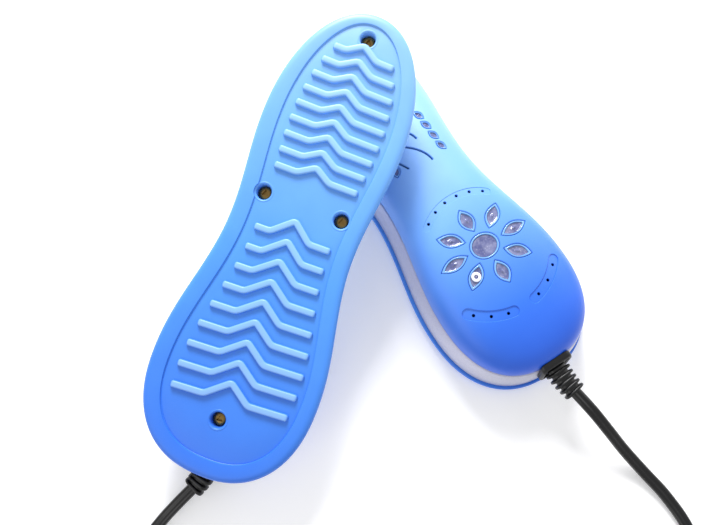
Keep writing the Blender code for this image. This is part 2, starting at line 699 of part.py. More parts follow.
def toe_window(name, side, parent):
    """Clear strip under the dome with four ovals standing up into it."""
    last_y = OVAL_FIRST_Y + OVAL_PITCH * (OVALS - 1)
    margin = OVAL_LENGTH / 2 + 1.2
    ys = np.linspace(OVAL_FIRST_Y - margin, last_y + margin, 6)
    boss_edge = SCREW_SPOTS["waist_a"][0] - BOSS_RADIUS
    across = [OVAL_X - OVAL_WIDTH, min(OVAL_X + OVAL_WIDTH, boss_edge - GAP)]
    rings = []
    for y in ys:
        line = np.column_stack([np.array(across) * side, [y, y]])
        upper = at_height(line, dome(line, WALL, WINDOW_GAP))
        rings.append(np.vstack([upper, upper[::-1] - (0, 0, WINDOW_THICKNESS)]))
    strip = add_object(name, mesh_from(*lofted(rings)), material("clear_plastic", CLEAR, 0.15), parent)
    lenses = [lens(shape) for shape in oval_outlines(side, 0)]
    combine(strip, "UNION", hidden_tool(name + "_lenses", lenses, parent))


# ---------------------------------------------------------------- inside a unit

def box_solid(low, high):
    """A plain box between two corners."""
    corners = [(low[0], low[1]), (high[0], low[1]), (high[0], high[1]), (low[0], high[1])]
    return lofted([at_height(np.array(corners), low[2]), at_height(np.array(corners), high[2])])


def bevelled(made, width):
    """Round an object's edges by a small bevel."""
    step = made.modifiers.new("edges", "BEVEL")
    step.width = width * MM
    step.segments = 1
    step.limit_method = "ANGLE"


def along_y(section, start, end):
    """A body with one section in X, Z drawn out along Y."""
    return lofted([np.array([(x, y, z) for x, z in section]) for y in (start, end)])


def heater_plate(name, parent):
    """Aluminium channel standing on the tray, under the toe."""
    half, top = PLATE_WIDTH / 2, PLATE_TOP_Z
    inner, under = half - PLATE_THICKNESS, PLATE_TOP_Z - PLATE_THICKNESS
    foot = TRAY_FLOOR_Z + GAP
    outside = [(-half, foot), (-half, top), (half, top), (half, foot)]
    inside = [(inner, foot), (inner, under), (-inner, under), (-inner, foot)]
    plate = along_y(outside + inside, PLATE_START_Y, PLATE_START_Y + PLATE_LENGTH)
    aluminium = material("aluminium", (0.8, 0.8, 0.8), 0.35, 1.0)
    add_object(name, mesh_from(*plate, smooth=False), aluminium, parent)


def ptc_heater(name, parent):
    """Heater block lying on the plate."""
    width, length, height = HEATER_SIZE
    foot = PLATE_TOP_Z + GAP
    low = (-width / 2, HEATER_START_Y, foot)
    high = (width / 2, HEATER_START_Y + length, foot + height)
    film = material("heater_film", (0.62, 0.3, 0.06), 0.4)
    bevelled(add_object(name, mesh_from(*box_solid(low, high), smooth=False), film, parent), 0.6)


def heater_clip(name, parent):
    """Spring clip arched over the heater, a foot on the plate at each side."""
    width, length, height = HEATER_SIZE
    foot = PLATE_TOP_Z + GAP
    inside, arch = width / 2 + GAP, foot + height + GAP
    outside, tall, deep = inside + CLIP_THICKNESS, arch + CLIP_THICKNESS, foot + CLIP_THICKNESS
    foot_end = outside + CLIP_FOOT
    right = [(foot_end, foot), (foot_end, deep), (outside, deep), (outside, tall)]
    left = [(-x, z) for x, z in right[::-1]]
    hollow = [(-inside, foot), (-inside, arch), (inside, arch), (inside, foot)]
    middle = HEATER_START_Y + length / 2
    clip = along_y(right + left + hollow, middle - CLIP_WIDTH / 2, middle + CLIP_WIDTH / 2)
    steel = material("spring_steel", (0.6, 0.6, 0.62), 0.3, 1.0)
    add_object(name, mesh_from(*clip, smooth=False), steel, parent)


def thermal_fuse(name, parent):
    """Round fuse lying across the plate, before the heater."""
    section = circle((FUSE_Y, PLATE_TOP_Z + GAP + FUSE_RADIUS), FUSE_RADIUS, 12)
    rings = [np.column_stack([np.full(12, x), section]) for x in (-FUSE_LENGTH / 2, FUSE_LENGTH / 2)]
    add_object(name, mesh_from(*lofted(rings)), material("fuse_white", (0.8, 0.78, 0.72), 0.5), parent)


def lamps(prefix, parent):
    """Circuit board under the flower and the lamps on it."""
    width, length, thickness = BOARD_SIZE
    low = (-width / 2, BOARD_Y - length / 2, BOARD_Z)
    high = (width / 2, BOARD_Y + length / 2, BOARD_Z + thickness)
    add_object(prefix + "lamp_board", mesh_from(*box_solid(low, high), smooth=False),
               material("circuit_board", (0.02, 0.2, 0.06), 0.5), parent)
    foot = BOARD_Z + thickness + GAP
    profile = ((1.16, 0.0), (1.16, 0.12), (1.0, 0.14), (1.0, 0.62), (0.7, 0.88), (0.25, 1.0))
    away, bearing = (PETAL_TIP_RADIUS + PETAL_ROOT_RADIUS) / 2, petal_angle(LAMP_PETAL)
    under_petal = flattened(np.array([(away * math.cos(bearing), FLOWER_Y + away * math.sin(bearing))]))[0]
    for spot, place in {"centre": (0, FLOWER_Y), "heel": under_petal}.items():
        rings = [at_height(circle(place, LED_RADIUS * r, 8), foot + LED_HEIGHT * h) for r, h in profile]
        lens_finish = material("lamp_lens", (0.75, 0.7, 0.85), 0.1)
        add_object(prefix + "lamp_" + spot, mesh_from(*lofted(rings)), lens_finish, parent)


def inner_wires(prefix, parent):
    """Insulated wires from the cord to the fuse, the heater and the lamp board."""
    start_y = heel_wall_y(RELIEF_Z) + RELIEF_NECK_LENGTH + RELIEF_FLANGE_THICKNESS + 1.0
    low_z = TRAY_FLOOR_Z + 2.4
    fuse_z = PLATE_TOP_Z + GAP + FUSE_RADIUS
    fuse_end = FUSE_LENGTH / 2
    heater_end = HEATER_START_Y - 2 * GAP
    common = [(9.0, start_y + 6.6, 10.5), (16.0, start_y + 26.6, low_z), (16.5, FLOWER_Y, low_z),
              (12.0, -15.0 * STRETCH, low_z), (9.0, 4.0, low_z), (9.0, PLATE_START_Y - 10.0, 9.5)]
    live = [(-2.6, start_y, RELIEF_Z)] + [(-x, y, z) for x, y, z in common]
    live += [(-9.4, PLATE_START_Y - 1.0, fuse_z), (-8.4, FUSE_Y - 0.6, fuse_z)]
    live += [(-fuse_end - 2 * GAP, FUSE_Y, fuse_z)]
    neutral = [(2.6, start_y, RELIEF_Z)] + common
    neutral += [(9.8, PLATE_START_Y, fuse_z), (9.9, heater_end, fuse_z)]
    link = [(fuse_end + 2 * GAP, FUSE_Y, fuse_z), (fuse_end + 1.5, FUSE_Y + 0.1, fuse_z),
            (fuse_end + 1.8, FUSE_Y + 1.5, fuse_z), (fuse_end + 1.8, heater_end, fuse_z)]
    board_end = BOARD_Y + BOARD_SIZE[1] / 2
    lamp = [(3.0, board_end + GAP, BOARD_Z + 0.8), (3.0, board_end + 8.0, 14.5),
            (3.0, -5.0 * STRETCH, 11.0), (3.0, PLATE_START_Y - 15.0, 10.0),
            (3.0, PLATE_START_Y - 4.0, fuse_z), (3.0, FUSE_Y - FUSE_RADIUS - 2 * GAP, fuse_z)]
    brown = material("wire_brown", (0.2, 0.07, 0.02), 0.5)
    blue = material("wire_blue", (0.03, 0.1, 0.5), 0.5)
    tube(prefix + "wire_live", smooth_route(live, 9), WIRE_RADIUS, brown, parent, 1)
    tube(prefix + "wire_neutral", smooth_route(neutral, 9), WIRE_RADIUS, blue, parent, 1)
    tube(prefix + "wire_link", smooth_route(link, 1.5), WIRE_RADIUS, brown, parent, 1)
    tube(prefix + "wire_lamp", smooth_route(lamp, 8), WIRE_RADIUS, brown, parent, 1)


def screws(prefix, parent):
    """Brass-coloured screws with a triangular recess, one in each well."""
    seat = WELL_SEAT_Z - GAP
    head = seat - SCREW_HEAD_HEIGHT
    profile = ((SCREW_HEAD_RADIUS * 0.86, head), (SCREW_HEAD_RADIUS, head + 0.5),
               (SCREW_HEAD_RADIUS, seat), (SCREW_SHANK_RADIUS, seat),
               (SCREW_SHANK_RADIUS, SCREW_TIP_Z - 2.0), (SCREW_SHANK_RADIUS * 0.3, SCREW_TIP_Z))
    brass = material("brass", (0.6, 0.42, 0.14), 0.35, 1.0)
    for spot, place in SCREW_SPOTS.items():
        rings = [at_height(circle(place, r, 8), z) for r, z in profile]
        name = prefix + "screw_" + spot
        screw = add_object(name, mesh_from(*lofted(rings)), brass, parent)
        triangle = prism(circle(place, SCREW_RECESS_RADIUS, 3), head - 1, head + 1.2)
        recess = hidden_tool(name + "_recess", [triangle], parent)
        combine(screw, "DIFFERENCE", recess)


def rounded_box_section(width, height, corner, centre_z):
    """A rectangle with cut corners, in X and Z."""
    a, b, c = width / 2, height / 2, corner
    right = [(a - c, -b), (a, -b + c), (a, b - c), (a - c, b)]
    points = right + [(-x, z) for x, z in right[::-1]]
    return np.array([(x, z + centre_z) for x, z in points])


def bent(ring, start_y, length, bend):
    """A boot's ring carried round an arc that turns by bend over its length, towards +X."""
    radius = length / bend
    angle = (start_y - ring[:, 1]) / radius
    away = radius - ring[:, 0]
    return np.column_stack([radius - away * np.cos(angle), start_y - away * np.sin(angle), ring[:, 2]])


def strain_relief(name, parent, bend):
    """Black moulded strain relief: inner flange, neck, outer flange on the heel, ribbed boot."""
    flange, neck = RELIEF_FLANGE, RELIEF_NECK
    inner = (neck[0] + 3.0, neck[1] + 2.0)
    inside, thickness = RELIEF_NECK_LENGTH, RELIEF_FLANGE_THICKNESS
    stations = ((inside + thickness, inner, 1.0), (inside, inner, 1.0), (inside, neck, 1.0),
                (-GAP, neck, 1.0), (-GAP, flange, 1.5),
                (-GAP - thickness, (flange[0] - 1.0, flange[1] - 1.0), 1.5))
    rings = []
    for away, (width, height), corner in stations:
        section = rounded_box_section(width, height, corner, RELIEF_Z)
        rings.append(np.column_stack([section[:, 0], heel_wall_y(section[:, 1]) + away, section[:, 1]]))
    boot_start = heel_wall_y(np.array(RELIEF_Z - flange[1] / 2)) - GAP - thickness - 0.4
    pitch = (BOOT_END_Y - boot_start) / BOOT_RIBS
    for k in range(BOOT_RIBS):
        share = k / (BOOT_RIBS - 1)
        wide = BOOT_WIDTH + (BOOT_END_WIDTH - BOOT_WIDTH) * share
        rib = (wide, wide * BOOT_FLATNESS)
        core = (rib[0] * BOOT_CORE, rib[1] * BOOT_CORE)
        y = boot_start + pitch * k
        for part, (width, height) in ((0.0, core), (0.42, core), (0.5, rib), (0.98, rib)):
            section = rounded_box_section(width, height, 1.6, RELIEF_Z)
            ring = np.column_stack([section[:, 0], np.full(8, y + pitch * part), section[:, 1]])
            rings.append(bent(ring, boot_start, boot_start - BOOT_END_Y, bend))
    add_object(name, mesh_from(*lofted(rings), smooth=False), material("black_rubber", BLACK, 0.5), parent)


def build_unit(prefix, parent):
    """Every piece of one dryer."""
    base_shell(prefix + "base_shell", parent)
    side_band(prefix + "side_band", parent)
    upper_shell(prefix + "upper_shell", parent)
    flower_window(prefix + "flower_window", parent)
    toe_window(prefix + "toe_window_a", 1, parent)
    toe_window(prefix + "toe_window_b", -1, parent)
    heater_plate(prefix + "heater_plate", parent)
    ptc_heater(prefix + "ptc_heater", parent)
    heater_clip(prefix + "heater_clip", parent)
    thermal_fuse(prefix + "thermal_fuse", parent)
    lamps(prefix, parent)
    inner_wires(prefix, parent)
    screws(prefix, parent)
    strain_relief(prefix + "strain_relief", parent, BOOT_BENDS[prefix])


# ---------------------------------------------------------------- how the pair lies

def outside_points(rings):
    """Points all over the outside of a unit: dome, band, strain relief flange and boot."""
    dome_points = np.vstack(dome_rings(0.0, rings))
    band_foot = at_height(outline(BAND_INSET), LIP_Z)
    width, height = RELIEF_FLANGE
    flange = []
    for z in (RELIEF_Z - height / 2, RELIEF_Z + height / 2):
        y = heel_wall_y(np.array(z)) - GAP - RELIEF_FLANGE_THICKNESS
        flange += [(-width / 2, y, z), (width / 2, y, z)]
    boot_end = [(x, BOOT_END_Y, RELIEF_Z) for x in (-BOOT_END_WIDTH / 2, BOOT_END_WIDTH / 2)]
    return np.vstack([dome_points, band_foot, flange, boot_end])


def outside_height(x, y):
    """Height of an upright unit's outside at x, y, far below the floor where there is none."""
    dome_edge = outline_reach(x, y, EDGE_INSET)
    band_edge = outline_reach(x, y, BAND_INSET)
    away = np.hypot(x, y)
    share = np.clip((band_edge - away) / (band_edge - dome_edge), 0, 1)
    beside = np.where(away <= band_edge, LIP_Z + (band_top(y) - LIP_Z) * share, -1000.0)
    return np.where(away <= dome_edge, dome_height(x, y), beside)


def lying_matrix(pitch):
    """Turn of the upside-down unit: toe along its heading, raised by pitch, sole up."""
    level = math.cos(pitch)
    toe = np.array([math.cos(LEFT_HEADING) * level, math.sin(LEFT_HEADING) * level, math.sin(pitch)])
    across = np.array([-math.sin(LEFT_HEADING), math.cos(LEFT_HEADING), 0.0])
    return np.column_stack([across, toe, np.cross(across, toe)])


def leaning_pose():
    """Pitch and height at which the upside-down unit just rests on the floor and on the other one."""
    points, corners = outside_points(40), outside_points(OUTER_RINGS)
    flat, steep = 0.0, 0.5
    while steep - flat > 1e-6:
        pitch = (flat + steep) / 2
        placed = points @ lying_matrix(pitch).T
        lift = -(corners @ lying_matrix(pitch).T)[:, 2].min()
        x, y = placed[:, 0] + LEFT_OFFSET[0], placed[:, 1] + LEFT_OFFSET[1]
        clearance = (placed[:, 2] + lift - outside_height(x, y)).min()
        flat, steep = (pitch, steep) if clearance < GAP else (flat, pitch)
    return steep, lift


def unit_empty(name, matrix):
    """The empty that carries a unit."""
    made = bpy.data.objects.new(name, None)
    bpy.context.scene.collection.objects.link(made)
    made.matrix_world = matrix
    return made


def place_pair():
    """Empties for both units, so that the box around the pair is centred on the origin."""
    pitch, lift = leaning_pose()
    turn = lying_matrix(pitch)
    upright = np.vstack([at_height(outline(0.0), 3.1), outside_points(OUTER_RINGS)])
    lying = upright @ turn.T + np.array([*LEFT_OFFSET, lift])
    both = np.vstack([upright, lying])
    middle = (both.min(axis=0) + both.max(axis=0)) / 2
    right = unit_empty("right_unit", Matrix.Translation(Vector((-middle[0], -middle[1], 0)) * MM))
    spot = Vector((LEFT_OFFSET[0] - middle[0], LEFT_OFFSET[1] - middle[1], lift)) * MM
    left = unit_empty("left_unit", Matrix.Translation(spot) @ Matrix(turn.tolist()).to_4x4())
    return right, left


# ---------------------------------------------------------------- cord

def splitter(parent):
    """Moulded block where the two leads join the main cord."""
    (x, y), (width, length, height) = SPLITTER_CENTRE, SPLITTER_SIZE
    rings = []
    for share, scale in ((-0.5, 0.8), (-0.38, 1.0), (0.1, 1.0), (0.5, 0.62)):
        section = rounded_box_section(width * scale, height * min(1, scale + 0.1), 1.6, height / 2)
        rings.append(np.column_stack([section[:, 0] + x, np.full(8, y + length * share), section[:, 1]]))
    rubber = material("black_rubber", BLACK, 0.5)
    add_object("cord_splitter", mesh_from(*lofted(rings), smooth=False), rubber, parent)


def coil(parent):
    """Outer shape of the wound cord: one turned ring with cut corners."""
    inner, outer = COIL_MEAN_RADIUS - COIL_BAND / 2, COIL_MEAN_RADIUS + COIL_BAND / 2
    top = COIL_FOOT_Z + COIL_HEIGHT
    corner = 1.6
    low = [(inner, COIL_FOOT_Z + corner), (inner + corner, COIL_FOOT_Z), (outer - corner, COIL_FOOT_Z),
           (outer, COIL_FOOT_Z + corner)]
    section = low + [(radius, COIL_FOOT_Z + top - z) for radius, z in low[::-1]]
    rings = [at_height(circle(COIL_CENTRE, radius, 28), z) for radius, z in section]
    black = material("black_cord", BLACK, 0.4)
    add_object("cord_coil", mesh_from(*lofted(rings, closed=True)), black, parent)


def coil_tie(parent):
    """Flat tie passing round the coil's band."""
    inner = COIL_MEAN_RADIUS - COIL_BAND / 2 - TIE_SLACK
    outer = COIL_MEAN_RADIUS + COIL_BAND / 2 + TIE_SLACK
    low, high = COIL_FOOT_Z - GAP, COIL_FOOT_Z + COIL_HEIGHT + GAP
    rings = []
    for y, grown in ((-0.5, TIE_THICKNESS), (0.5, TIE_THICKNESS), (0.5, 0.0), (-0.5, 0.0)):
        near, far = inner - grown, outer + grown
        corners = [(near, low - grown), (far, low - grown), (far, high + grown), (near, high + grown)]
        rings.append(np.array([(x, TIE_WIDTH * y, z) for x, z in corners]))
    points, faces = lofted(rings, closed=True)
    placed = np.column_stack([turned(points[:, :2], TIE_BEARING, COIL_CENTRE), points[:, 2]])
    rubber = material("black_rubber", BLACK, 0.5)
    add_object("coil_tie", mesh_from(placed, faces, smooth=False), rubber, parent)


def plug(start, heading, parent):
    """Two-pin mains plug lying on the floor, its cord end at start."""
    centre_z = PLUG_HEIGHT / 2
    steps = ((0.0, 8.0, 8.0), (0.22, 9.0, 9.0), (0.3, 17.0, PLUG_HEIGHT - 1),
             (0.55, PLUG_WIDTH * 0.82, PLUG_HEIGHT), (0.93, PLUG_WIDTH, PLUG_HEIGHT),
             (1.0, PLUG_WIDTH - 1.6, PLUG_HEIGHT - 1.6))
    turn = math.atan2(heading[1], heading[0]) - math.pi / 2
    rings = []
    for share, width, height in steps:
        section = rounded_box_section(width, height, min(width, height) * 0.3, centre_z)
        flat = np.column_stack([section[:, 0], np.full(8, PLUG_LENGTH * share)])
        rings.append(np.column_stack([turned(flat, turn, start), section[:, 1]]))
    rubber = material("black_rubber", BLACK, 0.5)
    add_object("plug_body", mesh_from(*lofted(rings), smooth=False), rubber, parent)
    tip = PLUG_LENGTH + PLUG_PIN_LENGTH
    nickel = material("nickel", (0.7, 0.68, 0.62), 0.25, 1.0)
    for name, side in (("a", -1), ("b", 1)):
        rings = []
        for reach, scale in ((PLUG_LENGTH + GAP, 1.0), (tip - 1.5, 1.0), (tip, 0.55)):
            section = circle((side * PLUG_PIN_SPACING / 2, centre_z), PLUG_PIN_RADIUS * scale, 10)
            flat = np.column_stack([section[:, 0], np.full(10, reach)])
            rings.append(np.column_stack([turned(flat, turn, start), section[:, 1]]))
        add_object("plug_pin_" + name, mesh_from(*lofted(rings)), nickel, parent)


def cord_set():
    """Both leads, the splitter, the main cord to the coil, the coil and the plug."""
    black = material("black_cord", BLACK, 0.4)
    tube("lead_right", smooth_route(RIGHT_LEAD_ROUTE, 12), CORD_WIDTH / 2, black, None, 2)
    tube("lead_left", smooth_route(LEFT_LEAD_ROUTE, 12), CORD_WIDTH / 2, black, None, 2)
    splitter(None)
    coil(None)
    coil_tie(None)
    outer = COIL_MEAN_RADIUS + COIL_BAND / 2
    tangent = math.sqrt(outer ** 2 - (COIL_MEAN_RADIUS - CORD_WIDTH / 2) ** 2) + GAP
    splitter_x, splitter_end = SPLITTER_CENTRE[0], SPLITTER_CENTRE[1] + SPLITTER_SIZE[1] / 2
    main_start = (splitter_x, splitter_end + GAP, CORD_RISE)
    main_end = (splitter_x, COIL_CENTRE[1] - tangent, CORD_RISE)
    tube("main_cord", [main_start, main_end], CORD_WIDTH / 2, black, None, 2)
    outwards = np.array([math.cos(COIL_LEAVES_AT), math.sin(COIL_LEAVES_AT)])
    heading = np.array([outwards[1], -outwards[0]])
    leaves = np.array(COIL_CENTRE) + outwards * COIL_MEAN_RADIUS
    lead = [(*(leaves + heading * t), CORD_RISE + 2.0) for t in (tangent, tangent + PLUG_LEAD)]
    tube("plug_lead", lead, CORD_WIDTH / 2, black, None, 2)
    plug(leaves + heading * (tangent + PLUG_LEAD + GAP), heading, None)


def main():
    """Clear the scene and build the pair."""
    for old in list(bpy.data.objects):
        bpy.data.objects.remove(old, do_unlink=True)
    right, left = place_pair()
    build_unit("right_", right)
    build_unit("left_", left)
    cord_set()


main()
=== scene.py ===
"""A pair of foot-shaped electric boot dryers on one cord.

Each dryer's pieces are worked out once in the dryer's own millimetres (+Y to the toe, its sole on
z = 0) and are then placed where the frame holds that dryer. The cord set is worked out in place.
"""
import math

import bmesh
import bpy
import numpy as np
from bpy.props import FloatProperty, PointerProperty
from mathutils import Matrix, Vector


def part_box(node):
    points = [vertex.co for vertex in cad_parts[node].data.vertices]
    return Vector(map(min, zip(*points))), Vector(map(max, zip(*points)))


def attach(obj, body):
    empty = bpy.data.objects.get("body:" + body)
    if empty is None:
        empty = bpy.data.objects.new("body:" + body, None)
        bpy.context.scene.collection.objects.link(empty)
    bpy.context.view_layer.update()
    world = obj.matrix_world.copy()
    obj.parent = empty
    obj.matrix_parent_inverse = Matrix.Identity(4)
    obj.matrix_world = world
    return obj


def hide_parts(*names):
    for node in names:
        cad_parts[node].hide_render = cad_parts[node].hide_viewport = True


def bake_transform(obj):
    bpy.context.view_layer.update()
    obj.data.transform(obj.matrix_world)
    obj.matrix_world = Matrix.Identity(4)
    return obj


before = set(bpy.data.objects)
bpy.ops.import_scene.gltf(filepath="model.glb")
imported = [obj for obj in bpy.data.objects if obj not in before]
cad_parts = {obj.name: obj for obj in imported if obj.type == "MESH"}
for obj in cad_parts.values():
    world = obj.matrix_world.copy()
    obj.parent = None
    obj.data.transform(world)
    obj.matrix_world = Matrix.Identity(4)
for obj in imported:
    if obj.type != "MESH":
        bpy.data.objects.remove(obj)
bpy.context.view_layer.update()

bl_info = {
    "name": "Boot dryer pair",
    "version": (1, 0, 0),
    "blender": (4, 5, 0),
    "location": "View3D > Sidebar > Boot dryer",
    "description": "Builds a pair of electric boot dryers, their cord, coil and plug, and a studio stage",
    "category": "Object",
}

MM = 0.001
TAU = 2 * math.pi
UNITS = {"right": "right_dryer", "left": "left_dryer"}

# Outline, seen from above.
LENGTH = 210.0
HEEL_HALF_WIDTH, HEEL_WIDEST_Y, HEEL_ROUNDNESS = 37.4, -61.7, 2.33
WAIST_HALF_WIDTH, WAIST_Y = 28.4, 3.0
TOE_HALF_WIDTH, TOE_WIDEST_Y, TOE_ROUNDNESS = 31.9, 50.0, 2.08

# Sole, band and dome.
PANEL_Z, RIM_Z, LIP_Z = 1.6, 0.8, 4.4
PANEL_INSET, PANEL_TOE_INSET, PANEL_SIDE_STRETCH = 8.0, 5.0, 1.045
EDGE_Z, EDGE_ROLL_IN, EDGE_ROLL_DOWN = 3.1, 3.4, 2.25
EDGE_TUCK_IN, EDGE_TUCK_UP = 1.3, 1.55
TONGUE_INSET, TONGUE_TOP = 4.7, 7.5
OUTLINE_STEPS, DOME_STEPS = 320, 300
WALL, GAP = 1.8, 0.3
BAND_INSET, EDGE_INSET = 1.6, 5.0
BAND_TOP_HEEL, BAND_TOP_TOE, BAND_SLOPES_FROM_Y = 19.0, 14.0, -20.0
BAND_HOLLOW = 0.35
CROWN_HEIGHT, CROWN_Y, CROWN_SLOPE, CROWN_SOFTNESS = 38.0, -55.0, 0.085, 15.0
DOME_ROUNDNESS = 2.6

# Ribs: (y of the rib nearest the toe, pitch, chevron height, chevron half base).
RIB_GROUPS = ((85.3, 7.07, 4.5, 7.4), (1.4, 9.1, 7.4, 9.7))
RIBS_IN_GROUP = 9
RIB_MARGINS = (2.8, 4.4)
RIB_FAN, RIB_LEVEL_Y = 0.0009, 30.0
RIB_HALF_WIDTH, RIB_FULLNESS, RIB_END = 1.55, 0.55, 0.9

SCREW_SPOTS = {"toe": (0.0, 93.4), "waist_a": (17.8, 15.9), "waist_b": (-17.8, 15.9), "heel": (0.0, -80.6)}
WELL_SEAT_Z, WELL_CUT_RADIUS = 7.5, 4.3

FLOWER_Y = -42.0
PETALS = 8
PETAL_TIP, PETAL_ROOT, PETAL_HALF_WIDTH = 22.2, 9.3, 3.2
EYE_RADIUS, FLOWER_SQUASH, LAMP_PETAL = 6.6, 0.86, 7
OVAL_X, OVAL_FIRST_Y, OVAL_PITCH, OVALS = 12.4, 9.0, 6.2, 4
OVAL_LENGTH, OVAL_WIDTH, OVAL_TURN = 5.2, 2.9, math.radians(22)
WINDOW_GAP, WINDOW_FOOT, LENS_GAP = 0.12, -2.6, 0.02
CARRIER_DROP, CARRIER_THICKNESS, CARRIER_RADIUS, CARRIER_MARGIN = 0.9, 1.1, 24.5, 3.8
COLLAR_RADIUS, COLLAR_HALF_WIDTH, COLLAR_HEIGHT = 1.55, 0.62, 0.5
PETAL_FRAME, EYE_FRAME, OVAL_FRAME = 0.25, 0.15, 0.3

# Vents and slots, with the grooves that the vents lie in.
VENT_RADIUS, SLOT_WIDTH = 0.75, 0.9
FRONT_VENTS, FRONT_VENT_ARC, FRONT_VENT_STEP = 6, 26.2, math.radians(13.6)
FRONT_GROOVE_WIDTH, FRONT_GROOVE_DEPTH, FRONT_GROOVE_OVERRUN = 3.4, 0.22, math.radians(4.5)
HEEL_VENT_ARC = 31.0
HEEL_VENT_ANGLES = tuple(math.radians(a) for a in (15.0, 29.0, 43.0))
HEEL_GROOVE_WIDTH, HEEL_GROOVE_DEPTH, HEEL_GROOVE_OVERRUN = 4.4, 0.5, math.radians(5.0)
INSTEP_SLOTS = (
    ((4.4, 18.0), (2.0, 23.5), (-3.5, 28.0)),
    ((4.6, 5.0), (1.6, 12.6), (-6.0, 19.6)),
    ((-7.2, 7.1), (-8.4, 9.8), (-9.6, 12.0)),
)

RELIEF_Z = 18.0
RELIEF_NECK, RELIEF_FLANGE, RELIEF_HOLE = (11.0, 9.0), (15.5, 14.0), (11.6, 9.6)
BOOT_END_Y = -116.0
BOOT_WIDTH, BOOT_END_WIDTH, BOOT_FLATNESS, BOOT_CORE, BOOT_RIBS = 11.4, 10.0, 0.72, 0.74, 5
BOOT_BENDS = {"right": math.radians(10), "left": math.radians(24)}

# Cord set, in the frame's millimetres.
CORD_WIDTH, CORD_THICKNESS = 5.4, 3.2
SPLITTER_CENTRE, SPLITTER_SIZE = (-80.0, -212.0), (15.0, 26.0, 7.5)
COIL_CENTRE, COIL_RADIUS, COIL_COLUMN = (-48.0, -168.0), 32.0, 2.7
COIL_LAYERS = (3.1, 6.35, 9.6)
COIL_LEAVES_AT = math.radians(58)
COIL_TURNS, COIL_STEP_SHARE = 4, 0.17
SPLITTER_CORD_Z = 3.6
PLUG_RISE_FROM, PLUG_RISE_RUN = 15.0, 18.0
TIE_BEARING = math.radians(-60)
PLUG_SIZE = (25.0, 35.0, 13.6)
PLUG_AWAY = 32.1
PIN_RADIUS, PIN_LENGTH, PIN_SPACING = 2.0, 19.0, 18.6
TIE_WIDTH, TIE_FOOT, TIE_TOP, TIE_STRAP_WIDTH = 15.5, 0.15, 12.6, 6.0
CORD_IN_BOOT = 3.0
RIGHT_BOOT_WAY, LEFT_BOOT_WAY = (0.174, -0.985, 0.0), (-0.966, -0.199, -0.166)
RIGHT_LEAD_ROUTE = (
    (64.9, -111.2, 18.0), (66.6, -121.0, 17.0), (68.7, -132.0, 13.0), (71.2, -144.0, 7.6),
    (74.0, -157.0, 4.0), (76.3, -171.0, 2.8), (75.6, -188.0, 2.7), (67.5, -206.0, 2.7),
    (51.0, -221.0, 2.7), (30.0, -233.5, 2.7), (4.0, -244.5, 2.7), (-24.0, -254.5, 2.7),
    (-41.0, -259.0, 2.7), (-53.5, -259.6, 2.7), (-65.0, -255.2, 2.7), (-73.2, -246.0, 2.7),
    (-76.7, -234.5, 2.7), (-76.8, -225.3, 2.7),
)
LEFT_LEAD_ROUTE = (
    (-99.8, -54.7, 8.5), (-109.4, -56.7, 6.7), (-119.4, -59.2, 4.4), (-130.0, -63.2, 3.0),
    (-140.0, -70.0, 2.7), (-148.2, -80.5, 2.7), (-153.6, -94.0, 2.7), (-155.7, -112.0, 2.7),
    (-155.6, -140.0, 2.7), (-154.4, -168.0, 2.7), (-150.0, -194.0, 2.7), (-144.0, -216.0, 2.7),
    (-138.5, -234.0, 2.7), (-132.0, -247.0, 2.7), (-122.5, -256.0, 2.7), (-110.5, -259.2, 2.7),
    (-98.5, -256.6, 2.7), (-88.6, -248.4, 2.7), (-83.6, -236.5, 2.7), (-83.2, -225.3, 2.7),
)

# Stage, in metres: (name, place, side, share of the key power) of each lamp.
LAMPS = (
    ("key", (0.34, 0.72, 0.60), 0.35, 5.2),
    ("fill", (-0.75, -0.25, 0.6), 0.6, 0.6),
    ("side", (0.7, -0.1, 0.45), 0.5, 0.4),
)
LAMP_TARGET = (0.0, 0.0, 0.02)
WORLD_STRENGTH = 0.62
FLOOR_REACH, FLOOR_Z = 3.0, -0.0004
SENSOR_WIDTH = 36.0
CAMERA_PLACE = (-0.027192, -0.072133, 0.313478)
CAMERA_TURN = (
    (0.845103, 0.518484, -0.13029),
    (-0.534591, 0.817945, -0.212552),
    (-0.003635, 0.24928, 0.968425),
)


# ---------------------------------------------------------------- properties

class SCENE_PG_dryer(bpy.types.PropertyGroup):
    """Sizes of one dryer's housing."""
    rib_height: FloatProperty(
        name="Rib height", description="How far a rib stands out of the sole's panel",
        default=PANEL_Z * MM, min=0.0008, max=0.003, unit="LENGTH")
    edge_break: FloatProperty(
        name="Edge break", description="Chamfer round each opening in the dome",
        default=0.0004, min=0.0001, max=0.001, unit="LENGTH")


class SCENE_PG_cord(bpy.types.PropertyGroup):
    """Sizes of the flat twin cord."""
    width: FloatProperty(
        name="Cord width", description="Across both cores", default=CORD_WIDTH * MM,
        min=0.004, max=0.008, unit="LENGTH")
    thickness: FloatProperty(
        name="Cord thickness", description="Across one core", default=CORD_THICKNESS * MM,
        min=0.002, max=0.004, unit="LENGTH")


class SCENE_PG_stage(bpy.types.PropertyGroup):
    """Floor, lamps and camera."""
    key_power: FloatProperty(
        name="Key power", description="Power that every lamp takes its share of", default=2.6,
        min=0, unit="POWER")
    lens: FloatProperty(
        name="Lens", description="Focal length on a 36 mm wide sensor", default=33.776, min=10,
        unit="CAMERA")


# ---------------------------------------------------------------- outline and dome, in mm

